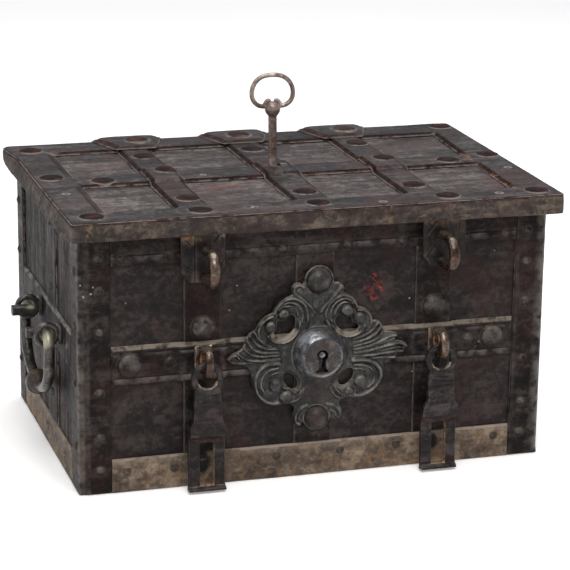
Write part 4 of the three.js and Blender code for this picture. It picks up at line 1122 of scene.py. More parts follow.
piece("front_bottom_strap", plate([rect(-SX, SX, 0, 32)], front_at(WYF), 3.4, cell=5, bevel=ledge(1.7, 1.6, 0.9, (1.0, 0.9)), dents=(0.6, 26.0), fine=0.15, seed=22, rivet_dust=0.3, rivet_wear=0.5, rivet_tone=0.75,
      rivets=[(-177.6, 20.2, 4, 2.2), (-133.6, 19.5, 4, 2.2), (-36.9, 22, 4, 2.2), (24.1, 22, 4, 2.2), (79.2, 22.5, 4, 2.2), (176, 22.5, 4, 2.2)]), MAT["foot"])
UPR = [[(-107, 150, 11.2, 7)], [(0.5, 39, 4, 2)], [(112, 154, 11.2, 6.5)]]
for (a, b), nm, rv in zip(UPRIGHTS, ("left", "centre", "right"), UPR):
    piece(f"front_upright_{nm}", plate([rect(a, b, 32, 212)], front_at(WYF), 2.4, cell=5, bevel=1.0, dents=(0.4, 26.0), rivets=rv, seed=23, foot=0.35, rivet_dust=0.4, rivet_wear=1.0), MAT["strap"])

# ------------------------------------------------------------------ straps of the sides and back
for side, sx in (("left", -1), ("right", 1)):
    at = left_at(-WX) if sx < 0 else right_at(WX)
    s = -1 if sx < 0 else 1  # u = s * y
    y0, y1 = BYF + CORNER, BYB - CORNER
    plus = [(y0, 109), (-34, 109), (-34, 32.2), (6, 32.2), (6, 109), (y1, 109), (y1, 145), (6, 145), (6, 248), (-34, 248), (-34, 145), (y0, 145)]
    low = lambda u, v: 0.6 * ((v < 109) | (v > 145))
    rv = [(s * -14, z, 4, 2.2) for z in (163, 225, 60)] + [(s * y, 127, 4, 2.2) for y in (-90, 80)]
    sh = plate([[(s * y, z) for y, z in plus]], at, 3.0, cell=5, bevel=ledge(2.8, 2.2), dents=(0.6, 26.0), fine=0.15, lower=low, rivets=rv, seed=30 + sx, rivet_dust=0.6, rivet_wear=1.0, grooves=[(s * -32, 144.2, s * 4, 144.2, 1.2, 0.8)])
    c = sh.v[0]
    sh.a["dust"][0] = np.maximum(sh.a["dust"][0], np.exp(-(((c[:, 2] - 143.8) / 1.2) ** 2)) * (np.abs(c[:, 1] + 14) < 19.5))
    piece(f"{side}_cross_strap", sh, MAT["sidestrap"])
    rv = [(s * y, 18, 4, 2.2) for y in (-70, 10, 90)]
    piece(f"{side}_bottom_strap", plate([[(s * y, z) for y, z in ((y0, 0), (y1, 0), (y1, 32), (y0, 32))]], at, 3.0, cell=5, bevel=ledge(2.0, 1.6, 0.8), dents=(0.6, 24.0), fine=0.15, rivets=rv, seed=33 + sx, rivet_wear=1.0), MAT["foot"])
piece("back_bottom_strap", plate([rect(-SX, SX, 0, 32)], back_at(WYB), 3.0, cell=6, bevel=1.0, dents=(0.4, 28.0), seed=36,
      rivets=[(-x, 18, 4, 2.2) for x in (-165, -60, 50, 160)]), MAT["foot"])


# ------------------------------------------------------------------ lid
def key_loop():
    a = math.degrees(math.asin(2.1 / 4.8))
    return arc(KEY_X, KEY_Y, 4.8, a, 360 - a, 18) + [(KEY_X + 13.3, KEY_Y - 2.1), (KEY_X + 13.3, KEY_Y + 2.1)]


def back_round(x, y, r):
    return arc(x - r, y - r, r, 0, 90, 6)


piece("lid_plate", plate([[(-225, -148), (225, -148), *back_round(225, 153, 4), (-226, 153), (-229.4, 150.5), (-229.2, 141), (-225, 107)], key_loop()], top_at(251), 4.0, cell=5, bevel=[0.5, 0.3],
      dents=(1.0, 38.0), fine=0.12, dense_back=True, wav=0, step=6, seed=40), MAT["lidplate"], wear=None)

LX, LYF = 230.0, -153.0
side_len = 147 - LYF
bendr = 5.0


def splay(y, z):
    """How far the band's left side leans out: its foot along the side, and its back end altogether."""
    low, back = np.clip((255 - z) / (255 - 240.4), 0, 1), np.clip((y - 105) / 36.6, 0, 1)
    return 5 * low * np.clip((y + 153) / 28, 0, 1) + (5.6 - 5 * low) * back


def band_place(u, v, h):
    """U-shaped band: u runs along the left side from back to front, along the front, and along the right side to the back."""
    u, v, h = np.asarray(u, float), np.asarray(v, float), np.asarray(h, float)
    inx, iny = LX - 5, LYF + 5  # inner surface
    a = side_len - 5
    b = 2 * inx
    s0 = np.clip(u, 0, a)
    t0 = np.clip((u - a) / bendr, 0, 1) * math.pi / 2
    s1 = np.clip(u - a - bendr, 0, b)
    t1 = np.clip((u - a - bendr - b) / bendr, 0, 1) * math.pi / 2
    s2 = np.clip(u - a - 2 * bendr - b, 0, None)
    k0 = 1 / np.maximum(np.cos(t0), np.sin(t0)) ** 0.7
    k1 = 1 / np.maximum(np.cos(t1), np.sin(t1)) ** 0.7
    ang = t0 + t1
    nx, ny = -np.cos(ang), -np.sin(ang)
    x = -inx + s1 + nx * h * k0 * k1
    y = 147 - s0 + s2 + ny * h * k0 * k1
    x = x - np.where(u <= a, splay(y, v), 0.0)
    return np.stack([x, y, v], 1)


A_, B_ = side_len - 5, 2 * (LX - 5)
U_END = 2 * A_ + 2 * bendr + B_
u_of_left = lambda y: 147 - y
u_of_right = lambda y: A_ + 2 * bendr + B_ + (y - (LYF + 5))
END = [(60, 240.9), (110, 240.5), (119, 240.6), (130, 241.2), (134.5, 241.8), (138, 242.6), (141, 244.0), (143.2, 245.6), (144.8, 247.6), (146, 249.8), (146.6, 252), (146.9, 254.5), (147, 257)]
band = [(u_of_left(y), z) for y, z in END[::-1]] + [(u_of_left(-125), 240.4), (A_ + bendr / 2, 240.4), (A_ + bendr + B_ / 2, 239.4), (A_ + 1.5 * bendr + B_, 238.6), (u_of_right(-125), 240.4)] + [(u_of_right(y), z) for y, z in END]


def band_style(nx, ny, k):
    """The band's upper edge is turned in under the border strap; its chamfer is painted dark as the shadow under the
    strap's edge. The others are only broken.
    """
    up = ny > 0.8
    return np.where(up, 1.3, 1.5), np.where(up, 0.9, 1.1), 0.0 * nx, np.where(up, 1.0, 0.15)


piece("lid_edge_band", plate([band], band_place, 5.0, cell=3.2, bevel=band_style, dents=(0.9, 20.0), fine=0.2, wav=0.9, seed=41, step=2.2), MAT["band"], wear=(0.1, 0.4))



def strap_joint(u, v):
    """Flush joints of the lid's openwork: the border with the cross straps and the middle strap."""
    on_y = (np.abs(v - OY0) < 0.2) | (np.abs(v - OY1) < 0.2)
    in_x = np.any([(u > a) & (u < b) for a, b in CROSS], 0)
    on_x = (np.abs(u - OX0) < 0.2) | (np.abs(u - OX1[1]) < 0.2)
    return (on_y & in_x) | (on_x & (v > LMY0) & (v < LMY1))


inner = []
for a, b in CROSS:
    inner += [(a, OY0), (b, OY0)]
inner = [(OX0, OY0)] + inner + [(OX1[0], OY0), (OX1[1], LMY0), (OX1[1], LMY1), (OX1[2], OY1)]
for a, b in CROSS[::-1]:
    inner += [(b, OY1), (a, OY1)]
inner += [(OX0, OY1), (OX0, LMY1), (OX0, LMY0)]
LR = dict(rivet_dust=1.0, rivet_tone=1.0, arc_w=0.25, crest_line=1.0)


def strap_edge(nx, ny, k=0, border=False):
    """Hammered-down edges of the openwork: steep to the front and left, long and worn to the right. Their tone is
    painted shade: dark red-brown on the chamfers that face front and left, lighter on the others.
    """
    left, rgt, fro = nx < -0.7, nx > 0.7, ny < -0.7
    b = np.where(left, 4.4, np.where(rgt, 7.8 if border else 5.4, np.where(fro, 2.5, 3.0)))
    to = np.where(left | fro, 1.0, np.where(rgt, 0.5, 0.3))
    return b, 3.1 + 0.0 * nx, 0.0 * nx, to


def border_style(nx, ny, k):
    if k == 1:
        return strap_edge(nx, ny, k, True)
    # outer edge: painted shade, darkest on the chamfers that face left and front
    return 1.5 + 0.0 * nx, 1.0 + 0.0 * nx, 0.0 * nx, np.where((nx < -0.6) | (ny < -0.6), 1.0, 0.4)


over_band = lambda u, v: 2.0 * ((np.abs(u) > 224.8) | (v < -147.8))
piece("lid_border_strap", plate([[(-229.4, -152.2), (229.4, -152.2), *back_round(229.4, 153, 6), (-227, 153), (-231.5, 151.6), (-234.6, 147), (-235, 141), (-229.4, 105)], inner], top_at(255), 3.4, cell=4.5,
      bevel=border_style, dents=(0.5, 26.0), fine=0.1, step=2.2, crest=1.25, bare=strap_joint, raise_by=over_band, foot=0.8, seed=42, **LR,
      rivets=[(x, y, 11, 1.8) for x, y in ((-211, 127), (-213, 15), (-207, -131), (216, 138), (217, 10), (209, -134), (-109, -131), (0, -130.5), (122, -134))]), MAT["lidtop"], wear=(0.15, 0.6))
RV = [[(-109, 80), (-105, 9), (-109, -87)], [(0, 84), (0, -89)], [(109, 86), (110, 8), (106, -88)]]
for (a, b), nm, rv in zip(CROSS, ("left", "centre", "right"), RV):
    y0, y1 = LMY0, LMY1
    ends = lambda u, v: (np.abs(v - OY0) < 0.2) | (np.abs(v - OY1) < 0.2)
    hump = lambda u, v: 3.4 * (1 - sstep(LMY0 - 5.5, LMY0 - 2.3, v) * sstep(LMY1 + 5.5, LMY1 + 2.3, v))
    over = lambda u, v: 3.5 * ((v > LMY0 - 0.25) & (v < LMY1 + 0.25))
    loops = [rect(a, b, OY0, OY1)] + ([key_loop()] if nm == "centre" else [])
    gr = [(a + 0.5, y, b - 0.5, y, 1.2, 0.25) for y in (LMY0 - 3.8, LMY1 + 3.8)]
    piece(f"lid_cross_strap_{nm}", plate(loops, top_at(255), 6.8, cell=4, bevel=lambda nx, ny, k: strap_edge(nx, ny, k) if k == 0 else (0.5 + 0 * nx, 0.4, 0, 0), crest=1.25, dents=(0.5, 26.0), fine=0.1, lower=hump, raise_by=over, bare=ends,
          step=2.0, foot=0.8, seed=42, rivets=[(x, y, 11, 1.8) for x, y in rv], grooves=gr, **LR), MAT["lidtop"], wear=(0.15, 0.6))
ends = lambda u, v: (np.abs(u - OX0) < 0.2) | (np.abs(u - OX1[1]) < 0.2)
piece("lid_middle_strap", plate([rect(OX0, OX1[1], LMY0, LMY1), key_loop()], top_at(255), 3.4, cell=4.5, bevel=lambda nx, ny, k: strap_edge(nx, ny, k) if k == 0 else (0.4 + 0 * nx, 0.3, 0, 0), crest=1.25, dents=(0.5, 26.0), fine=0.1, bare=ends, step=2.0,
      foot=0.8, seed=42, rivets=[(-169, -6.5, 11, 1.8), (172, -3, 11, 1.8)], **LR), MAT["lidtop"], wear=(0.15, 0.6))

# ------------------------------------------------------------------ lock, pins: the construction's own meshes, edges broken
for nd in ("lock_plate", "lock_hub", "lock_slide", "lock_lever_left", "lock_lever_right", "lock_bolt_left", "lock_bolt_right", "hinge_pin_left", "hinge_pin_centre", "hinge_pin_right"):
    worked(nd, MAT["lock"])

# ------------------------------------------------------------------ hinges
HY, HZ = 158.8, 248.0


def knuckle(x0, x1, r_in=2.55, r_out=5.3, n=40):
    """Rolled knuckle along x, with eased ends."""
    prof = [(r_in, x0 + 0.3), (r_in + 0.5, x0), (r_out - 0.8, x0), (r_out - 0.2, x0 + 0.35), (r_out, x0 + 1.0), (r_out, x1 - 1.0), (r_out - 0.2, x1 - 0.35), (r_out - 0.8, x1), (r_in + 0.5, x1), (r_in, x1 - 0.3)]
    v, f = [], []
    m = len(prof)
    for i in range(n):
        a = 2 * math.pi * i / n
        v += [(h, HY + r * math.cos(a), HZ + r * math.sin(a)) for r, h in prof]
    for i in range(n):
        for j in range(m):
            f.append((i * m + j, ((i + 1) % n) * m + j, ((i + 1) % n) * m + (j + 1) % m, i * m + (j + 1) % m))
    v = np.array(v)
    vol = sum(float(np.dot(v[a], np.cross(v[b], v[c]))) + float(np.dot(v[a], np.cross(v[c], v[d]))) for a, b, c, d in f)
    return v, (f if vol > 0 else [t[::-1] for t in f])


for hx, nm in ((-110, "left"), (-1, "centre"), (103, "right")):
    leaf = [(-15, -172), (0, -180), (15, -172), (20, -120), (20, -16), (30, -16), (30, -6.2), (13, -6.2), (13, -2.0), (-13, -2.0), (-13, -6.2), (-30, -6.2), (-30, -16), (-20, -16), (-20, -120)]
    sh = plate([[(-(x + hx), z + HZ) for x, z in leaf]], back_at(WYB), 3.2, cell=5, bevel=1.3, dents=(0.35, 24), rivets=[(-hx, HZ + z, 6.5, 3) for z in (-30, -90, -150)], seed=51,
               grooves=[(-hx - 11, 95, -hx - 14, 225, 0.8, 0.4), (-hx + 11, 95, -hx + 14, 225, 0.8, 0.4)])
    for a, b in ((-30, -12.3), (12.3, 30)):
        sh.add(*knuckle(hx + a, hx + b))
        web = prism([(WYB, HZ - 7.5), (WYB + 3.0, HZ - 7.5), (HY - 3.2, HZ - 4.4), (HY - 4.6, HZ - 2.0), (WYB, HZ - 1.6)], lambda u, v, h: np.stack([h, u, v], 1), hx + a + 0.2, hx + b - 0.2)
        sh.add(*web)
    piece(f"hinge_lower_leaf_{nm}", sh, MAT["strap"])

HRIV = {"left": 6, "centre": 1, "right": 7}
for hx, nm in ((-110, "left"), (-1, "centre"), (103, "right")):
    out = [(-19.5, 109.5), (19.5, 109.5), (22.2, 113.5), (28.5, 131), (33, 145), (34.6, 149)] + arc(28.5, 150.8, 6.5, 0, 90, 6) + arc(-28.5, 150.8, 6.5, 90, 180, 6) + [(-34.6, 149), (-33, 145), (-28.5, 131), (-22.2, 113.5)]

    def leaf_style(nx, ny, k):
        back = ny > 0.8
        b = np.where(back, 4.4, np.where(ny < -0.8, 2.6, 5.6))
        d = np.where(back, 2.6, np.where(ny < -0.8, 3.4, 3.5))
        # tone is painted shade: darker on the edges that face front and left
        return b, d, 0.0 * nx, np.clip(-0.55 * nx - 0.85 * ny, 0, 1) * 0.9

    low = lambda u, v: 0.6 * (1 - sstep(110, 132, v)) + 0.7 * sstep(12, 34, np.abs(u - hx)) * sstep(118, 150, v) + 1.8 * sstep(24, 35, np.abs(u - hx)) * sstep(132, 152, v)
    sh = plate([[(x + hx, y) for x, y in out]], top_at(LID_TOP), 4.0, cell=3.5, bevel=leaf_style, dents=(0.5, 20), fine=0.08, wav=0.5, lower=low, foot=0.75, seed=52 + hx,
               rivets=[(hx + HRIV[nm], 133, 11.3, 2.2)], rivet_dust=1.0, rivet_tone=1.0, arc_w=1.5)
    for half, top in ((27.0, 260.1), (31.5, 259.1), (34.6, 257.4)):
        sh.add(*prism([(153.4, 254.7), (157.2, 254.7), (157.2, top - 1.0), (156.4, top), (153.4, top)], lambda u, v, h: np.stack([h, u, v], 1), hx - half, hx + half))
    sh.add(*prism([(153.4, 249.5), (157.2, 246.9), (158.6, 250.6), (157.2, 255.2), (153.4, 255.2)], lambda u, v, h: np.stack([h, u, v], 1), hx - 11.8, hx + 11.8))
    sh.add(*knuckle(hx - 12, hx + 12))
    piece(f"hinge_upper_leaf_{nm}", sh, MAT["leaf"], wear=(0.15, 0.5))


# ------------------------------------------------------------------ hasps and ring staples
def rotx(deg):
    return Matrix.Rotation(math.radians(deg), 4, "X")


def ring_path(cx, cz, r, n, plane="xz", at=0.0):
    out = []
    for i in range(n):
        a = 2 * math.pi * i / n
        p, q = cx + r * math.cos(a), cz + r * math.sin(a)
        out.append((p, at, q) if plane == "xz" else (at, p, q))
    return out


def staple_ring(node, hx, seed):
    sh = plate([rect(hx - 8, hx + 8, 110, 135)], front_at(-135.7), 2.2, cell=3, bevel=0.8, dents=(0.25, 9), seed=seed)
    n = 72
    path = ring_path(-148.5, 122.5, 12.15, n, "yz", hx)
    v, f = sweep(path, oval(3.35, 4.0, 22, 2.5), True, (1, 0, 0))
    v[:, 1] = np.minimum(v[:, 1], -135.8)
    c = np.array((hx, -148.5, 122.5))
    mid = v - c
    rr = np.hypot(mid[:, 1], mid[:, 2])
    k = 1 - 0.03 * (0.5 + 0.5 * noise3(v, 7.0, seed)) - 0.015 * (0.5 + 0.5 * noise3(v, 2.4, seed + 1))
    core = np.stack([np.full(len(v), hx), -148.5 + mid[:, 1] / rr * 12.15, 122.5 + mid[:, 2] / rr * 12.15], 1)
    v = core + (v - core) * np.where(v[:, 1] > -136.5, 1.0, k)[:, None]
    wear = sstep(0.2, 0.9, (v[:, 2] - 122.5) / 15.5) * 0.9
    inner_low = sstep(1.5, 3.2, 12.15 - rr) * 0.8
    sh.add(v, f, wear=wear, rust=inner_low, dust=wear * 0.7)
    return piece(node, sh, MAT["worn"], wear=(0.03, 0.2))


def hasp(node, hx, wrinkles, shoulder, seed):
    m = Matrix.Translation((hx, -150, 120)) @ rotx(-3)
    loc = lambda u, v, h: np.stack([u, -np.asarray(h, float), v], 1)  # h = local -y, outwards
    parts = [sweep(ring_path(0, -12, 12.0, 80, "xz"), oval(3.4, 3.0, 24, 2.7), True, (0, 1, 0))]
    a = [(r[0], r[1]) for r in arc(0, -12, 9.7, 320, 220, 14)]
    neck = [(-11.8, -21.9), (-13.1, -34), (-13.0, -45)] + [(-x, z) for x, z in shoulder] + [(x, z) for x, z in shoulder[::-1]] + [(13.0, -45), (13.1, -34), (11.8, -21.9)] + a
    parts.append(prism(neck, loc, -3, 3))
    parts.append(prism([(-16.4, -60.5), (-17.3, -66), (-17.2, -112), (-17.9, -118.6), (-15, -117.6), (-12, -117.2), (-9, -118.4), (-6, -118.8), (-3, -117.4), (0, -117.1), (3, -118.1), (6, -118.8), (9, -117.5), (12, -117.2),
                        (15, -118.4), (17.9, -118.8), (17.2, -112), (17.3, -66), (16.4, -60.5)], loc, -9, -4, [[(-6.3, -73.5), (-6.3, -113), (6.3, -113), (6.3, -73.5)]]))
    jog = [(-3, -56), (3, -57), (8.8, -61), (8.8, -70), (4, -70), (-3, -65.5)]
    parts.append(prism(jog, lambda u, v, h: np.stack([h, u, v], 1), -16.6, 16.6))
    lip = [(6, -112.6), (-0.2, -115.6), (-0.4, -118.0), (5, -118.4)]
    parts.append(prism(lip, lambda u, v, h: np.stack([h, u, v], 1), -17.4, 17.4))
    notch = [turned(lathe_shell([(0, -12), (2.2, -12), (2.2, 12), (0, 12)], 14, (x, 0, -120.1), (0, 1, 0)), m) for x in (-12.2, -0.3, 12.0)]
    inv = np.array(m.inverted())

    def edit(v, n, at):
        p = v @ inv[:3, :3].T + inv[:3, 3]
        x, y, z = p[:, 0], p[:, 1], p[:, 2]
        ln = n @ inv[:3, :3].T
        front = np.clip(-ln[:, 1], 0, 1)
        w = np.zeros(len(v))
        for zc, amp, tilt, wd in wrinkles:
            zz = z - zc - tilt * x + 0.9 * noise3(np.stack([x, x * 0, x * 0 + zc], 1), 7.0, seed)
            w += amp * np.exp(-((zz / wd) ** 2)) * sstep(14, 10, np.abs(x))
        v = v - n * (w * front)[:, None]
        side = sstep(0.75, 1.0, np.abs(ln[:, 0]))
        v = v - n * (0.5 * (0.5 + 0.5 * noise3(v, 5.0, seed + 3)) * side)[:, None]
        slot = (np.abs(x) < 7.0) & (z < -72.5) & (z > -113.8) & (y > 3.5)
        at["rust"] = np.where(slot & ((ln[:, 0] < -0.3) | (ln[:, 2] > 0.3)), 1.0, 0.0)
        rr = np.hypot(x, z + 12)
        low = (rr < 10.6) & (z < -15) & (ln[:, 2] > 0.2)
        at["dust"] = np.where(low, 1.0, 0.0)
        # painted shadow in a band under the jog's overhang
        at["tone"] = 0.7 * sstep(-66, -71, z) * sstep(-76, -73, z)
        return v, at

    return forged(node, [turned(p, m) for p in parts], MAT["hasp"], 0.55, 3, notch, dents=(0.35, 8.0), fine=(0.07, 2.0), wear=(0.015, 0.08), seed=seed, edit=edit)


staple_ring("hasp_staple_left", -107.5, 61)
staple_ring("hasp_staple_right", 114.5, 62)
hasp("hasp_left", -107.5, [(-27, 0.25, 0.05, 0.8), (-33, 0.25, -0.1, 0.9), (-41, 0.3, 0.12, 0.9), (-52, 0.2, 0, 1.0)],
     [(13.6, -50), (15.6, -55), (16.9, -60), (15.2, -63.5), (15.4, -66)], 63)
hasp("hasp_right", 114.5, [(-27.5, 0.5, 0.05, 0.9), (-31.5, 0.6, -0.06, 0.8), (-36.5, 0.7, 0.05, 1.0), (-41.5, 0.6, -0.08, 0.9), (-46.5, 0.7, 0.03, 1.1), (-52, 0.35, 0, 0.9)],
     [(12.6, -48), (13.4, -51.5), (16.4, -55.5), (17.9, -61), (17.8, -66)], 64)

# ------------------------------------------------------------------ upper staples
for nm, px, hx in (("left", -110.0, -107.5), ("right", 116.0, 114.5)):
    o = [(px - 20.5, 250.5), (px - 20.5, 206), (px - 13, 195.5), (px + 13, 195.5), (px + 20.5, 206), (px + 20.5, 250.5)]
    if nm == "left":
        gr = [(px - 8, 198, px - 8, 249, 0.7, 0.6), (px - 18.5, 214, px - 10, 208, 0.6, 0.5), (px + 9.5, 233, px + 18.5, 243, 0.7, 0.6), (px + 12.5, 208, px + 18.5, 216, 0.6, 0.5),
              (px - 17, 236, px - 12, 231, 0.7, 0.5), (px + 11, 240, px + 18, 234, 0.6, 0.4)]
    else:
        gr = [(px - 17.5, 226, px - 8.5, 238, 0.8, 0.6), (px - 17.5, 203, px - 8, 218, 0.8, 0.7), (px - 9.5, 203, px - 1, 197.5, 0.7, 0.5), (px - 8.5, 207, px - 8.5, 216, 0.6, 0.4), (px + 14, 205, px + 14, 238, 0.6, 0.4)]
    sh = plate([o], front_at(-143.5), 3.5, cell=2.4, bevel=1.1, dents=(0.35, 11), fine=0.08, grooves=gr, seed=70 + int(px), step=2.0)
    v0 = sh.v[0]
    sh.a["rust"][0] = 0.75 * sstep(232, 239, v0[:, 2]) * sstep(-0.1, 0.5, noise3(v0, 6.0, 5))
    sh.a["tone"][0] = 1.0 - 0.5 * sstep(230, 240, v0[:, 2])
    if nm == "right":
        bar, bf = sweep([(px - 8, -146.6, 240.6), (px - 2, -148.0, 240.9), (px + 6, -148.2, 240.9), (px + 13, -147.2, 240.4)], oval(2.0, 1.7, 12), False, (0, 0, 1))
        sh.add(bar, bf, rust=0.8, wear=0.3)
    path = [(hx, -146, 225.4), (hx, -152, 225.4), (hx, -158, 225.3)] + [(hx, -163.5 - 12.7 * math.sin(t), 212.7 + 12.7 * math.cos(t)) for t in np.radians(np.arange(0, 181, 9))] + [(hx, -158, 200.1), (hx, -152, 200.0), (hx, -146, 200.0)]
    path = [tuple(p) for p in spline(path, 90)]
    v, f = sweep(path, oval(4.65, 5.15, 26, 2.3), False, (1, 0, 0))
    k = 0.25 * (0.5 + 0.5 * noise3(v, 6.5, 75)) + 0.08 * (0.5 + 0.5 * noise3(v, 2.0, 76))
    cen = np.array(path).repeat(26, 0)
    dlen = np.linalg.norm(v - cen, axis=1, keepdims=True)
    v = v - (v - cen) / dlen * k[:, None]
    # top of the loop's lower leg: tan rust, wear and dust, part real wear and part a painted highlight
    low_leg_worn_and_lit = sstep(-3, 3, cen[:, 1] * 0 + (212 - cen[:, 2])) * sstep(0.4, 0.9, (v - cen)[:, 2] / 4.6)
    sh.add(v, f, rust=0.3 * low_leg_worn_and_lit, wear=0.7 * sstep(0.1, 0.8, (v - cen)[:, 2] / 4.6) * sstep(214, 226, v[:, 2]) + 0.7 * low_leg_worn_and_lit, dust=0.25 * low_leg_worn_and_lit)
    piece(f"upper_staple_{nm}", sh, MAT["worn"], wear=(0.03, 0.2))

# ------------------------------------------------------------------ drop handles
BX_, HALF = 234.5, 45.5
for side, turn in (("left", 0), ("right", 180)):
    m = Matrix.Translation((0, -14, 0)) @ Matrix.Rotation(math.radians(turn), 4, "Z")
    for end, y in (("a", -HALF), ("b", HALF)):
        front = (end == "a") == (turn == 0)
        blk = plate([rect(-(y + 5), -(y - 5), 122, 140)], left_at(-221.7), 2.9, cell=2.5, bevel=0.9, dents=(0.2, 7), seed=80)
        v, f, a = blk.arrays()
        sh = Shell()
        sh.add(turned((v, f), m)[0], f)
        v, f = sweep([(-BX_ + 9.5 * math.cos(t), y, 131 + 9.5 * math.sin(t)) for t in np.radians(np.arange(0, 360, 5))], oval(2.75, 3.5, 22, 2.6), True, (0, 1, 0))
        v[:, 0] = np.minimum(v[:, 0], -221.8)
        top = sstep(0.3, 0.9, (v[:, 2] - 131) / 12)
        inn = (np.hypot(v[:, 0] + BX_, v[:, 2] - 131) < 8.0) * 1.0
        cen = np.stack([-BX_ + (v[:, 0] + BX_) / np.maximum(np.hypot(v[:, 0] + BX_, v[:, 2] - 131), 0.1) * 9.5, np.full(len(v), y), 131 + (v[:, 2] - 131) / np.maximum(np.hypot(v[:, 0] + BX_, v[:, 2] - 131), 0.1) * 9.5], 1)
        v = cen + (v - cen) * (1 - 0.06 * (0.5 + 0.5 * noise3(v, 6.0, 81)) - 0.03 * (0.5 + 0.5 * noise3(v, 2.1, 82)))[:, None]
        v[:, 0] = np.minimum(v[:, 0], -221.8)
        sh.add(turned((v, f), m)[0], f, wear=top * 0.7, rust=inn * 0.7)
        piece(f"{side}_handle_eye_{'front' if front else 'back'}", sh, MAT["handle"], wear=(0.03, 0.2))
    half = [(HALF - 10, 131), (HALF, 131), (HALF + 7, 130.5), (HALF + 11, 124), (HALF + 11.5, 106), (HALF + 2, 86), (24, 73.5)]
    path = [(-BX_, y, z) for y, z in half] + [(-BX_, 0, 70.5)] + [(-BX_, -y, z) for y, z in half[::-1]]
    path = [tuple(p) for p in spline(path, 150)]
    parts = [sweep(path, oval(5.25, 5.25, 20), False, (1, 0, 0))]
    for y in (HALF - 10, -HALF + 10):
        parts.append(sweep([(-BX_ + 4.4, y, 131), (-BX_ - 6, y, 131), (-BX_ - 17, y, 131)], oval(5.1, 5.1, 24, 2.9), False, (0, 0, 1)))
    prof = [(0, -12), (3.4, -11.8), (6.6, -10.5), (8.8, -8.0), (9.5, -6.2), (8.9, -5.4), (10.9, -4.9), (11.75, -3.2), (11.8, 0), (11.75, 3.2), (10.9, 4.9), (8.9, 5.4), (9.5, 6.2), (8.8, 8.0), (6.6, 10.5), (3.4, 11.8), (0, 12)]
    parts.append(lathe_shell(prof, 44, (-BX_, 0, 71), (0, 1, 0)))
    inv = np.array(m.inverted())

    def edit(v, n, at, inv=inv):
        p = v @ inv[:3, :3].T + inv[:3, 3]
        ay = np.abs(p[:, 1])
        pol = sstep(41, 44, ay) * sstep(121, 127, p[:, 2]) + sstep(-239.5, -236, p[:, 0]) * (ay < 42) * sstep(131, 133.5, p[:, 2])
        at["wear"] = np.clip(pol, 0, 1)
        at["dust"] = np.clip(pol, 0, 1) * 0.9
        at["tone"] = 0.9 * sstep(-249.0, -250.5, p[:, 0]) + 0.45 * (np.hypot(p[:, 1], p[:, 2] - 71) < 13)
        at["rust"] = 0.5 * (np.hypot(p[:, 1], p[:, 2] - 71) < 12.5) * sstep(74, 82, p[:, 2])
        return v, at

    forged(f"{side}_handle", [turned(p, m) for p in parts], MAT["handle"], 0.6, 2, (), dents=(0.3, 11.0), fine=(0.05, 2.4), wear=(0.02, 0.09), seed=84, edit=edit)

# ------------------------------------------------------------------ escutcheon: chased acanthus relief, left and right drawn apart as on the piece
ESC_OUT = [
    (13.4, 191), (13.9, 187), (15.2, 184.6), (18.2, 184.9), (21.8, 183), (24.2, 179), (22.8, 175.6), (24.0, 174.6), (28.2, 172.6), (32.8, 169.2), (35.6, 164.8), (36.9, 160.9), (41, 159.7), (45.2, 157.8), (49.4, 153.6),
    (51.9, 149.2), (52.4, 146.0), (54.4, 146.4), (57.6, 145.6), (60.8, 142.4), (62.0, 138.2), (62.8, 135.0), (66.5, 134.6), (71, 133.8), (75.2, 132.6), (76.0, 130.2), (74.6, 127.2), (73.8, 125.6), (77.4, 124.8), (81.5, 123.8),
    (84.5, 121.6), (86.0, 118.9), (84.2, 117.4), (83.6, 115.0), (81.2, 113.0), (77.6, 112.4), (76.4, 109.6), (74.4, 107.2), (70.8, 106.2), (66.6, 107.0), (63.8, 103.6), (64.0, 97.4), (62.8, 91.2), (60.4, 85.6), (56.2, 80.6),
    (50.6, 76.4), (45, 73.4), (39.8, 72.6), (35.2, 72.9), (30.8, 72.2), (26.4, 72.6), (22.6, 70.8), (21.0, 68.0), (24.2, 63.2), (25.6, 57.6), (23.0, 53.0), (17.4, 52.2), (13.0, 54.6), (11.4, 51.4), (8.4, 47.6), (4.4, 45.3), (-0.4, 45.0),
    (-5.0, 45.4), (-9.2, 47.8), (-12.0, 51.6), (-13.4, 52.6), (-16.4, 49.8), (-20.8, 51.2), (-22.8, 57.0), (-22.6, 62.4), (-20.8, 68.4), (-24.6, 71.6), (-30.6, 72.4), (-36.8, 71.6), (-43.2, 71.2), (-49.4, 73.4), (-54.8, 78.0),
    (-58.8, 84.0), (-61.2, 91.0), (-62.0, 98.2), (-63.6, 104.6), (-66.6, 109.6), (-70.6, 112.0), (-74.8, 113.4), (-79.4, 114.2), (-83.8, 116.4), (-86.0, 119.2), (-84.0, 121.8), (-80.2, 124.4), (-76.8, 125.8), (-73.6, 127.0),
    (-70.8, 129.4), (-69.4, 133.4), (-68.2, 138.0), (-65.0, 142.2), (-61.0, 144.8), (-59.0, 145.4), (-57.0, 149.8), (-53.4, 154.4), (-49.8, 157.2), (-45.2, 159.2), (-42.8, 160.8), (-41.0, 165.0), (-37.2, 169.5), (-31.8, 173.0),
    (-26.2, 175.0), (-24.6, 176.2), (-25.9, 179.4), (-25.4, 183.4), (-22.8, 186.2), (-18.8, 186.9), (-15.4, 185.0), (-13.9, 187.4), (-13.4, 191), (-11.2, 195.8), (-7.4, 199.6), (-2.8, 201.5), (2.8, 201.5), (7.4, 199.6), (11.2, 195.8)]
BALLS = [(27.0, 157.0, 6.3, 6.0), (38.8, 149.2, 6.3, 5.6), (-33.0, 158.0, 5.6, 5.2), (-45.0, 147.0, 6.0, 5.4), (41.2, 89.0, 6.3, 5.8), (30.6, 79.6, 4.6, 3.4), (-40.0, 91.0, 6.4, 6.0), (-30.3, 79.8, 6.2, 5.6)]


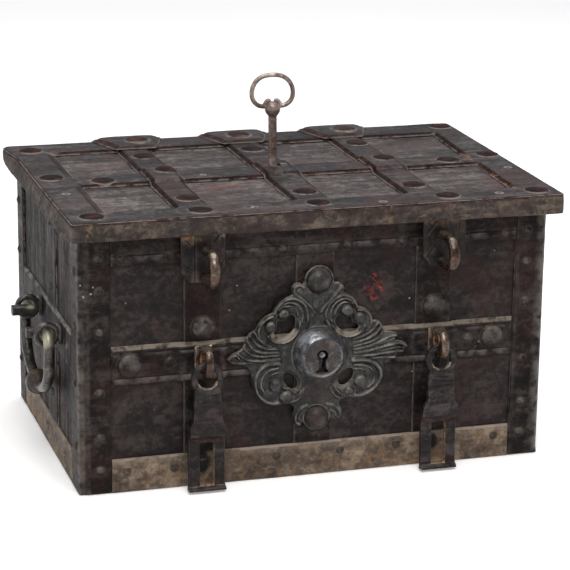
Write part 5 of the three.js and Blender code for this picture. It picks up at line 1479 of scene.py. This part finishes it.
def pierced(cx, cz, rx, rz, deg, balls):
    """An opening, an ellipse that gives way to the balls beside it."""
    out = []
    t = math.radians(deg)
    for i in range(40):
        a = 2 * math.pi * i / 40
        u, v = rx * math.cos(a), rz * math.sin(a)
        dx, dz = u * math.cos(t) - v * math.sin(t), u * math.sin(t) + v * math.cos(t)
        s = 1.0
        while s > 0.2 and any(math.hypot(cx + s * dx - bx, cz + s * dz - bz) < br + 0.4 for bx, bz, br, _ in balls):
            s -= 0.02
        out.append((cx + s * dx, cz + s * dz))
    return out


HOLES = [pierced(27.6, 145.4, 12.2, 8.2, -28, BALLS), pierced(-31.4, 146.6, 12.4, 8.6, 47, BALLS), pierced(27.5, 94.0, 9.2, 5.8, 50, BALLS), pierced(-25.6, 94.4, 9.0, 5.6, -55, BALLS)]
RIDGES = [  # path, half-width from and to, height from and to
    ([(20.5, 181), (15.5, 174.5), (10.5, 168.5), (5.5, 163), (2.0, 157.5)], 3.2, 2.2, 5.2, 3.4),
    ([(23.4, 178.6), (19.2, 172.6), (14.6, 168)], 1.8, 1.4, 3.9, 3.0),
    ([(36.2, 161), (34, 166.2), (29.4, 170.6), (23, 172.4), (15.8, 170), (9.8, 164.5), (7.0, 157.5), (7.4, 150), (10.5, 144)], 2.3, 2.0, 5.2, 3.6),
    ([(32.6, 164.2), (28.6, 168), (23.2, 168.9), (17.2, 166.6), (12.8, 161.6), (11.3, 155), (12.8, 148)], 1.7, 1.6, 4.6, 3.4),
    ([(28.6, 164.4), (24.4, 165.6), (19.6, 163.4), (16.4, 158.4), (15.4, 152.4)], 1.5, 1.4, 4.2, 3.2),
    ([(37.4, 157.4), (43, 156.4), (48, 152.4), (50.3, 147), (49.8, 141.6), (46.2, 137)], 1.9, 1.7, 4.8, 3.6),
    ([(13.6, 143.6), (16.4, 138.4), (21.5, 134.4), (28, 133), (35, 133.8), (41, 137), (44.4, 141.4)], 1.6, 1.6, 4.9, 4.5),
    ([(33, 129.4), (43, 132.2), (51, 137.2), (56.4, 143.8)], 1.9, 1.6, 3.6, 5.2),
    ([(33.4, 126), (45.4, 128.6), (54.4, 133.6), (59.8, 140.6)], 1.9, 1.7, 3.6, 5.4),
    ([(34, 122.8), (46.5, 124.8), (56.6, 129), (61.2, 134.8)], 1.8, 1.5, 3.4, 4.8),
    ([(34.4, 119.6), (47.5, 121.4), (60, 125.8), (68.6, 129.8), (74.4, 130.4)], 2.1, 1.8, 3.6, 5.4),
    ([(58, 122.4), (66, 125.6), (73, 127.4)], 1.4, 1.3, 3.2, 4.2),
    ([(35, 116.2), (49, 117.4), (62, 119.8), (72, 122), (79, 122.4), (84.8, 119.6)], 2.1, 1.5, 3.6, 5.4),
    ([(60, 116.2), (70, 117.6), (78, 118.6), (83.6, 117.8)], 1.6, 1.2, 3.0, 4.2),
    ([(35, 112.8), (50, 112.8), (64, 113.8), (74, 114.6), (81.6, 114.6)], 1.9, 1.4, 3.4, 4.6),
    ([(50, 109.8), (60, 110), (68.6, 109.2), (73.8, 109.4)], 1.9, 1.6, 3.2, 4.6),
    ([(33.6, 109.6), (42, 109.4), (50, 107.4), (57, 102.8), (60.8, 95.4), (59.8, 87.4), (54.4, 80.8), (46.6, 76.4), (38, 75.2), (31, 76)], 2.9, 2.3, 4.8, 4.6),
    ([(35.4, 104.8), (44.6, 103.6), (51.8, 99.4), (55.0, 92.4), (53.4, 86.2), (48.6, 82)], 1.7, 1.5, 4.0, 3.4),
    ([(34.6, 100.8), (41.6, 100.4), (47.4, 97)], 1.2, 1.1, 3.2, 2.8),
    ([(15.6, 88), (19.4, 81), (25.4, 76.4), (32, 74.6)], 1.8, 1.5, 3.0, 3.8),
    ([(12.8, 85), (16.2, 77.6), (21.6, 73.6)], 1.6, 1.4, 2.8, 3.4),
    ([(9.6, 69.2), (15.6, 67.6), (20.8, 63.2), (22.4, 57.6), (19.4, 54.4)], 2.2, 1.9, 3.4, 4.4),
    ([(13, 63.4), (17, 61), (18.4, 57.6)], 1.4, 1.4, 3.0, 3.4),
    # left
    ([(-14.6, 182.4), (-18.8, 184.8), (-22.9, 182.8), (-23.8, 178.6), (-19.8, 174.6), (-13.8, 169.2), (-7.8, 163.4), (-3.4, 157.6)], 2.1, 2.2, 4.8, 3.2),
    ([(-18.6, 181.2), (-20.2, 179)], 1.3, 1.2, 3.9, 3.6),
    ([(-41.8, 160.4), (-39.8, 165), (-35.4, 169.4), (-28.6, 172.4), (-21.6, 171.8), (-15.0, 167.6), (-11.2, 161.2), (-10.2, 153), (-11.2, 145)], 2.2, 2.0, 5.2, 3.6),
    ([(-38.2, 162.8), (-33.8, 167.2), (-28, 168.8), (-22.2, 167.4), (-17.2, 162.8), (-15.2, 156.6), (-15.6, 149.4)], 1.7, 1.5, 4.6, 3.4),
    ([(-35.6, 164.4), (-31, 165.8), (-25.6, 164.8), (-21, 160.6), (-19.4, 155)], 1.4, 1.3, 4.2, 3.3),
    ([(-43.4, 157), (-49.8, 154.6), (-54.6, 149.4), (-56.6, 143.2), (-54.8, 136.8), (-50, 133)], 1.9, 1.7, 4.8, 3.6),
    ([(-47.6, 138.6), (-43.4, 133.8), (-36.6, 131.2), (-29.2, 132.4), (-23.0, 136.6), (-18.9, 143.4), (-17.8, 150)], 1.6, 1.5, 4.9, 4.4),
    ([(-45, 128.6), (-52, 132.6), (-57.6, 138.4), (-60.8, 143.8)], 1.8, 1.6, 3.6, 5.0),
    ([(-39, 125.8), (-50, 127.4), (-59, 132.6), (-64.6, 140.4)], 2.0, 1.7, 3.6, 5.4),
    ([(-38, 122.6), (-52, 123.4), (-62, 128), (-67.4, 135.4)], 1.8, 1.6, 3.4, 5.2),
    ([(-37, 119.4), (-54, 119.8), (-64, 122.8), (-69.6, 128.4)], 1.7, 1.4, 3.4, 4.4),
    ([(-36, 116), (-54, 115.6), (-66, 117.6), (-72.4, 121.4), (-76.6, 125.0)], 2.0, 1.5, 3.5, 4.6),
    ([(-62, 114.2), (-71, 114.6), (-79, 115.4), (-84.6, 118.4), (-82.6, 121.8), (-77.4, 122.8), (-74.6, 119.6)], 1.7, 1.4, 3.4, 5.0),
    ([(-36.6, 112.4), (-48, 111.6), (-54.8, 107.2), (-59.0, 99), (-59.0, 90), (-55.6, 82.4), (-49, 76.6), (-42, 74.2), (-34.5, 74.6)], 2.9, 2.3, 4.8, 4.6),
    ([(-37.4, 107.6), (-46.6, 105.8), (-52.4, 99.6), (-53.6, 91.4), (-50.4, 84.6)], 1.7, 1.5, 4.0, 3.4),
    ([(-36.4, 103.2), (-42.8, 101.8), (-47, 98.4)], 1.2, 1.1, 3.2, 2.8),
    ([(-33.4, 88.2), (-27, 87.2), (-21.6, 83), (-18.4, 79.8), (-15.6, 84.4)], 1.2, 1.2, 4.4, 3.6),
    ([(-13.0, 86), (-16.4, 78), (-22, 74), (-28, 74.4)], 1.6, 1.4, 2.8, 3.2),
    ([(-9.6, 69.4), (-15.6, 66.4), (-20, 60.6), (-20.6, 54.6), (-16.8, 52)], 2.2, 1.9, 3.6, 4.4),
    ([(-12.6, 63.6), (-16.4, 60.4), (-17.0, 56.4)], 1.4, 1.3, 3.0, 3.4),
    # middle
    ([(-4.6, 172), (-4.2, 164), (-5.4, 156), (-8, 149)], 1.2, 1.1, 2.6, 2.4),
    ([(4.4, 172), (3.8, 164), (3.6, 156), (5.2, 149)], 1.2, 1.1, 2.6, 2.4),
]


def relief(V):
    hole_A = np.concatenate([np.array(h) for h in HOLES])
    hole_B = np.concatenate([np.roll(np.array(h), -1, 0) for h in HOLES])
    h = 1.7 + 0.5 * noise3(np.stack([V[:, 0], V[:, 1], V[:, 0] * 0], 1), 9.0, 90)
    for pts, w0, w1, h0, h1 in RIDGES:
        d, s = near_path(V, pts)
        w, hh = w0 + (w1 - w0) * s, h0 + (h1 - h0) * s
        h = smax(h, hh * np.clip(1 - (d / (w * 1.12)) ** 2, 0, 1) ** 0.62 * (1 + 0.05 * noise3(np.stack([V[:, 0], V[:, 1], V[:, 0] * 0 + w0], 1), 4.0, 91)), 0.5)
    # rim of the domes
    for cx, cz, r in ((0.0, 188.0, 13.2), (-0.5, 56.8, 12.4)):
        d = np.abs(np.hypot(V[:, 0] - cx, V[:, 1] - cz) - r)
        h = smax(h, (3.1 if cz > 100 else 2.6) * np.clip(1 - (d / 1.35) ** 2, 0, 1) ** 0.6, 0.4)
        d = np.hypot(V[:, 0] - cx, V[:, 1] - cz)
        h = np.where(d < r - 1.4, np.minimum(h, 2.0), h)
    # swelling under the boss
    d = np.hypot(V[:, 0] - 0.5, V[:, 1] - 119)
    h = np.where(d < 26.2, np.minimum(smax(h, 3.4 * np.exp(-(((d - 25) / 3.0) ** 2)), 0.8), 3.95), smax(h, 3.6 * np.exp(-(((d - 25) / 3.2) ** 2)), 1.0))
    h = np.where(d < 24.5, 2.4, h)
    tone = 0.5 * np.exp(-(((V[:, 0] - 1) / 12) ** 2)) * sstep(64, 76, V[:, 1]) * sstep(100, 88, V[:, 1])
    for cx, cz, r, hh in BALLS:
        d = np.hypot(V[:, 0] - cx, V[:, 1] - cz)
        k = np.clip(1 - (d / r) ** 2, 0, 1)
        h = np.where(d < r, np.maximum(h, 1.6 + hh * k**0.5), h)
        h = np.where((d >= r) & (d < r + 1.3), np.minimum(h, 2.6), h)
    for cx, cz, r, hh in ((0.0, 188.0, 11.4, 9.9), (-0.5, 56.8, 10.6, 9.4)):
        d = np.hypot(V[:, 0] - cx, V[:, 1] - cz)
        k = np.clip(1 - (d / r) ** 2, 0, 1)
        h = np.where(d < r, np.maximum(h, 2.0 + hh * k**0.55), h)
        if cz < 100:
            tone = np.where(d < r, 0.7, tone)
    dh = seg_dist(V, hole_A, hole_B)
    hc = np.zeros(len(V))
    for (cx, cz), r in zip(((27.6, 145.4), (-31.4, 146.6), (27.5, 94.0), (-25.6, 94.4)), (14, 14, 10, 10)):
        a = (V[:, 1] - cz) / np.maximum(np.hypot(V[:, 0] - cx, V[:, 1] - cz), 0.1)
        hc = np.maximum(hc, (np.hypot(V[:, 0] - cx, V[:, 1] - cz) < r + 4) * sstep(-0.15, -0.6, a) * (1.0 if cz > 120 else 0.35))
    dust = 0.95 * hc * sstep(4.6, 3.4, dh)
    return h, tone, dust


def esc_style(nx, ny, k):
    if k == 0:
        return 1.3, 1.2, 0.0 * nx + 0.55 * (ny > 0.3), 0.0 * nx
    return 3.6 if k < 3 else 2.2, 2.6, 0.0 * nx, 0.0 * nx


sh = plate([ESC_OUT] + HOLES, front_at(-135.7), 12.3, cell=0.85, bevel=esc_style, dents=(0.22, 5.0), fine=0.12, wav=0.0, step=1.1, sculpt=relief, seed=92)
piece("escutcheon", sh, MAT["relief"], sharp=50, wear=(0.03, 0.16))

kh = [(0 + 5.3 * math.cos(t), 120.5 + 5.3 * math.sin(t)) for t in np.radians(np.linspace(-55.5, 235.5, 26))] + [(-3, 108.5), (-6.8, 104.7), (6.8, 104.7), (3, 108.5)]
prof = [(0, -0.0), (25.4, 0.0), (25.5, 0.8), (25.2, 2.0), (24.5, 4.0), (23.6, 6.0), (22.4, 8.0), (21.0, 10.2), (19.6, 12.0), (18.4, 13.2), (17.6, 13.45), (17.0, 13.1), (16.6, 12.5), (15.6, 12.3), (0, 12.3)]
pin = lathe_shell([(0, 1.8), (3.2, 1.8), (3.2, 10.2), (2.8, 11.0), (1.6, 11.35), (0, 11.4)], 28, (0, -139.75, 120.9), (0, -1, 0))


def boss_edit(v, n, at):
    d = np.hypot(v[:, 0] - 0.5, v[:, 2] - 119)
    face = (d < 17.0) & (v[:, 1] < -151.5)
    at["tone"] = np.where(face, 0.85, 0.0)
    at["rust"] = np.where((d < 16.5) & (v[:, 1] > -151.5), 1.0, 0.0)
    rim = np.exp(-(((d - 17.2) / 0.9) ** 2)) * (v[:, 1] < -151.6) * (v[:, 2] < 112)
    at["dust"] = np.clip(rim, 0, 1)
    # painted highlight on the upper left of the dome, put into the wear attribute so that it takes the light wear
    # colour
    lit = np.exp(-((((v[:, 0] + 13) / 12) ** 2) + (((v[:, 2] - 137) / 9.5) ** 2))) * (~face) * (v[:, 1] > -152.6)
    at["wear"] = np.clip(1.1 * lit, 0, 1)
    return v, at


forged("escutcheon_boss", [lathe_shell(prof, 120, (0.5, -139.75, 119), (0, -1, 0))], MAT["boss"], 0.5, 2, [prism(kh, front_at(-142.25), 0, 24), ], dents=(0.25, 7.0), fine=(0.07, 1.6),
       wear=(0.02, 0.12), seed=95, edit=boss_edit, extra=[pin])

# ------------------------------------------------------------------ key
sh = Shell()
kp = [(0, 238.6), (2.6, 238.6), (3.55, 239.3), (3.7, 240.4), (3.7, 251.8), (4.1, 254), (4.15, 264), (4.05, 284), (4.1, 302), (4.15, 306.6), (3.95, 308.3), (4.5, 309.4), (5.6, 310.6), (6.8, 312.4), (7.45, 314.4), (7.65, 316), (7.35, 318.2), (6.4, 320.4), (4.7, 321.8), (2.3, 322.5), (0, 322.6)]
v, f = lathe_shell(kp, 40, (KEY_X, KEY_Y, 0), (0, 0, 1))
c = np.array((KEY_X, KEY_Y))
rr = v[:, :2] - c
v[:, :2] = c + rr * (1 - 0.035 * (0.5 + 0.5 * noise3(v, 4.0, 97)))[:, None]
sh.add(v, f)
bow = [(-6.4, 318.9), (-10.5, 318.9), (-15.2, 320.9), (-18.9, 325.2), (-20.2, 330.8), (-19.3, 336.8), (-16.4, 342.3), (-11.4, 346.5), (-5.8, 348.2), (0, 348.5), (5.8, 348.1), (11.4, 346.2), (16.3, 342.0), (19.3, 336.5), (20.1, 330.6), (18.8, 325.0), (15.2, 320.9), (10.5, 319.0), (6.4, 318.9)]
for s in (-1, 1):
    curl = [(s * 8.2, 318.6), (s * 7.0, 321.0), (s * 5.4, 323.2), (s * 3.6, 323.9), (s * 2.8, 322.4)]
    v, f = sweep([(KEY_X + a, KEY_Y, z) for a, z in [(p.x, p.y) for p in spline([(a, b, 0) for a, b in curl], 26)]], oval(2.0, 2.0, 14), False, (0, 1, 0), scale=lambda t: 1.0 - 0.15 * t)
    sh.add(v, f)
v, f = sweep([(KEY_X + p.x, KEY_Y, p.y) for p in spline([(a, b - 0.5, 0) for a, b in bow], 120)], oval(2.1, 2.1, 18, 2.2), False, (0, 1, 0))
sh.add(v, f)
for part in sh.v:  # the shank leans a little to the left
    part[:, 0] -= 0.018 * np.clip(part[:, 2] - 256, 0, None)
bit = plate([[(2.2, 239.2), (12.4, 239.2), (12.4, 242.6), (9.6, 242.6), (9.6, 244.0), (12.4, 244.0), (12.4, 250.2), (2.2, 250.2)]], lambda u, v, h: np.stack([KEY_X + u, KEY_Y + 1.45 - h, v], 1), 2.9, cell=1.6, bevel=0.4, dents=(0.1, 4), seed=98, wav=0.05, step=1.5)
v, f, a = bit.arrays()
sh.add(v, f)
piece("key", sh, MAT["key"], wear=(0.03, 0.2))

# ------------------------------------------------------------------ floor, light, camera
me = bpy.data.meshes.new("floor")
floor = bpy.data.objects.new("floor", me)
bm = bmesh.new()
bmesh.ops.create_grid(bm, x_segments=2, y_segments=2, size=12.0)
bm.to_mesh(me)
bm.free()
floor.location.z = -0.0004
bpy.context.scene.collection.objects.link(floor)
g = Nodes("floor_pale")
cl = g.mix(g.noise(1.5, 3, 0.5), srgb(236, 235, 233), srgb(242, 241, 240))
g._set(g.bsdf.inputs["Base Color"], cl)
g.bsdf.inputs["Roughness"].default_value = 0.9
g.bsdf.inputs["Specular IOR Level"].default_value = 0.1
g.bsdf.inputs["Emission Color"].default_value = (1.0, 0.99, 0.98, 1)
g.bsdf.inputs["Emission Strength"].default_value = 0.26
me.materials.append(g.mat)

sc = bpy.context.scene
world = bpy.data.worlds.new("studio")
sc.world = world
world.use_nodes = True
wn = world.node_tree
wn.nodes.clear()
bg = wn.nodes.new("ShaderNodeBackground")
wo = wn.nodes.new("ShaderNodeOutputWorld")
bg.inputs[0].default_value = (0.93, 0.95, 1.0, 1)
bg.inputs[1].default_value = 0.55
wn.links.new(bg.outputs[0], wo.inputs[0])


def area(name, loc, target, size, power, color=(1, 1, 1), size_y=None):
    l = bpy.data.lights.new(name, "AREA")
    l.shape = "RECTANGLE"
    l.size, l.size_y = size, size_y or size
    l.energy, l.color = power, color
    o = bpy.data.objects.new(name, l)
    sc.collection.objects.link(o)
    o.location = loc
    d = Vector(target) - Vector(loc)
    o.rotation_mode = "QUATERNION"
    o.rotation_quaternion = d.to_track_quat("-Z", "Y")
    return o


area("key_light", (-0.25, -1.35, 2.2), (0, 0, 0.15), 1.5, 46, (1, 0.98, 0.96))
area("top_light", (0.3, 0.6, 2.6), (0, 0, 0.2), 1.8, 34, (0.97, 0.98, 1))
area("left_light", (-2.4, -0.3, 0.9), (0, 0, 0.12), 1.1, 6.5, (1, 0.99, 0.97))

yaw, pitch, roll = math.radians(-17.052), math.radians(16.508), math.radians(0.813)
F = 2347.5
fwd = Vector((-math.sin(yaw) * math.cos(pitch), math.cos(yaw) * math.cos(pitch), -math.sin(pitch)))
right = Vector((math.cos(yaw), math.sin(yaw), 0))
upv = right.cross(fwd)
r_ = right * math.cos(roll) + upv * math.sin(roll)
u_ = upv * math.cos(roll) - right * math.sin(roll)
cam_data = bpy.data.cameras.new("camera")
cam = bpy.data.objects.new("camera", cam_data)
sc.collection.objects.link(cam)
cam_data.sensor_fit = "HORIZONTAL"
cam_data.sensor_width = 36.0
cam_data.lens = 36.0 * F / 570.0
cam_data.clip_start, cam_data.clip_end = 0.05, 60.0
rot = Matrix((r_, u_, -fwd)).transposed()
cam.matrix_world = Matrix.Translation((-0.6239, -2.0667, 0.7837)) @ rot.to_4x4()
sc.camera = cam
sc.view_settings.view_transform = "Standard"
sc.view_settings.look = "None"
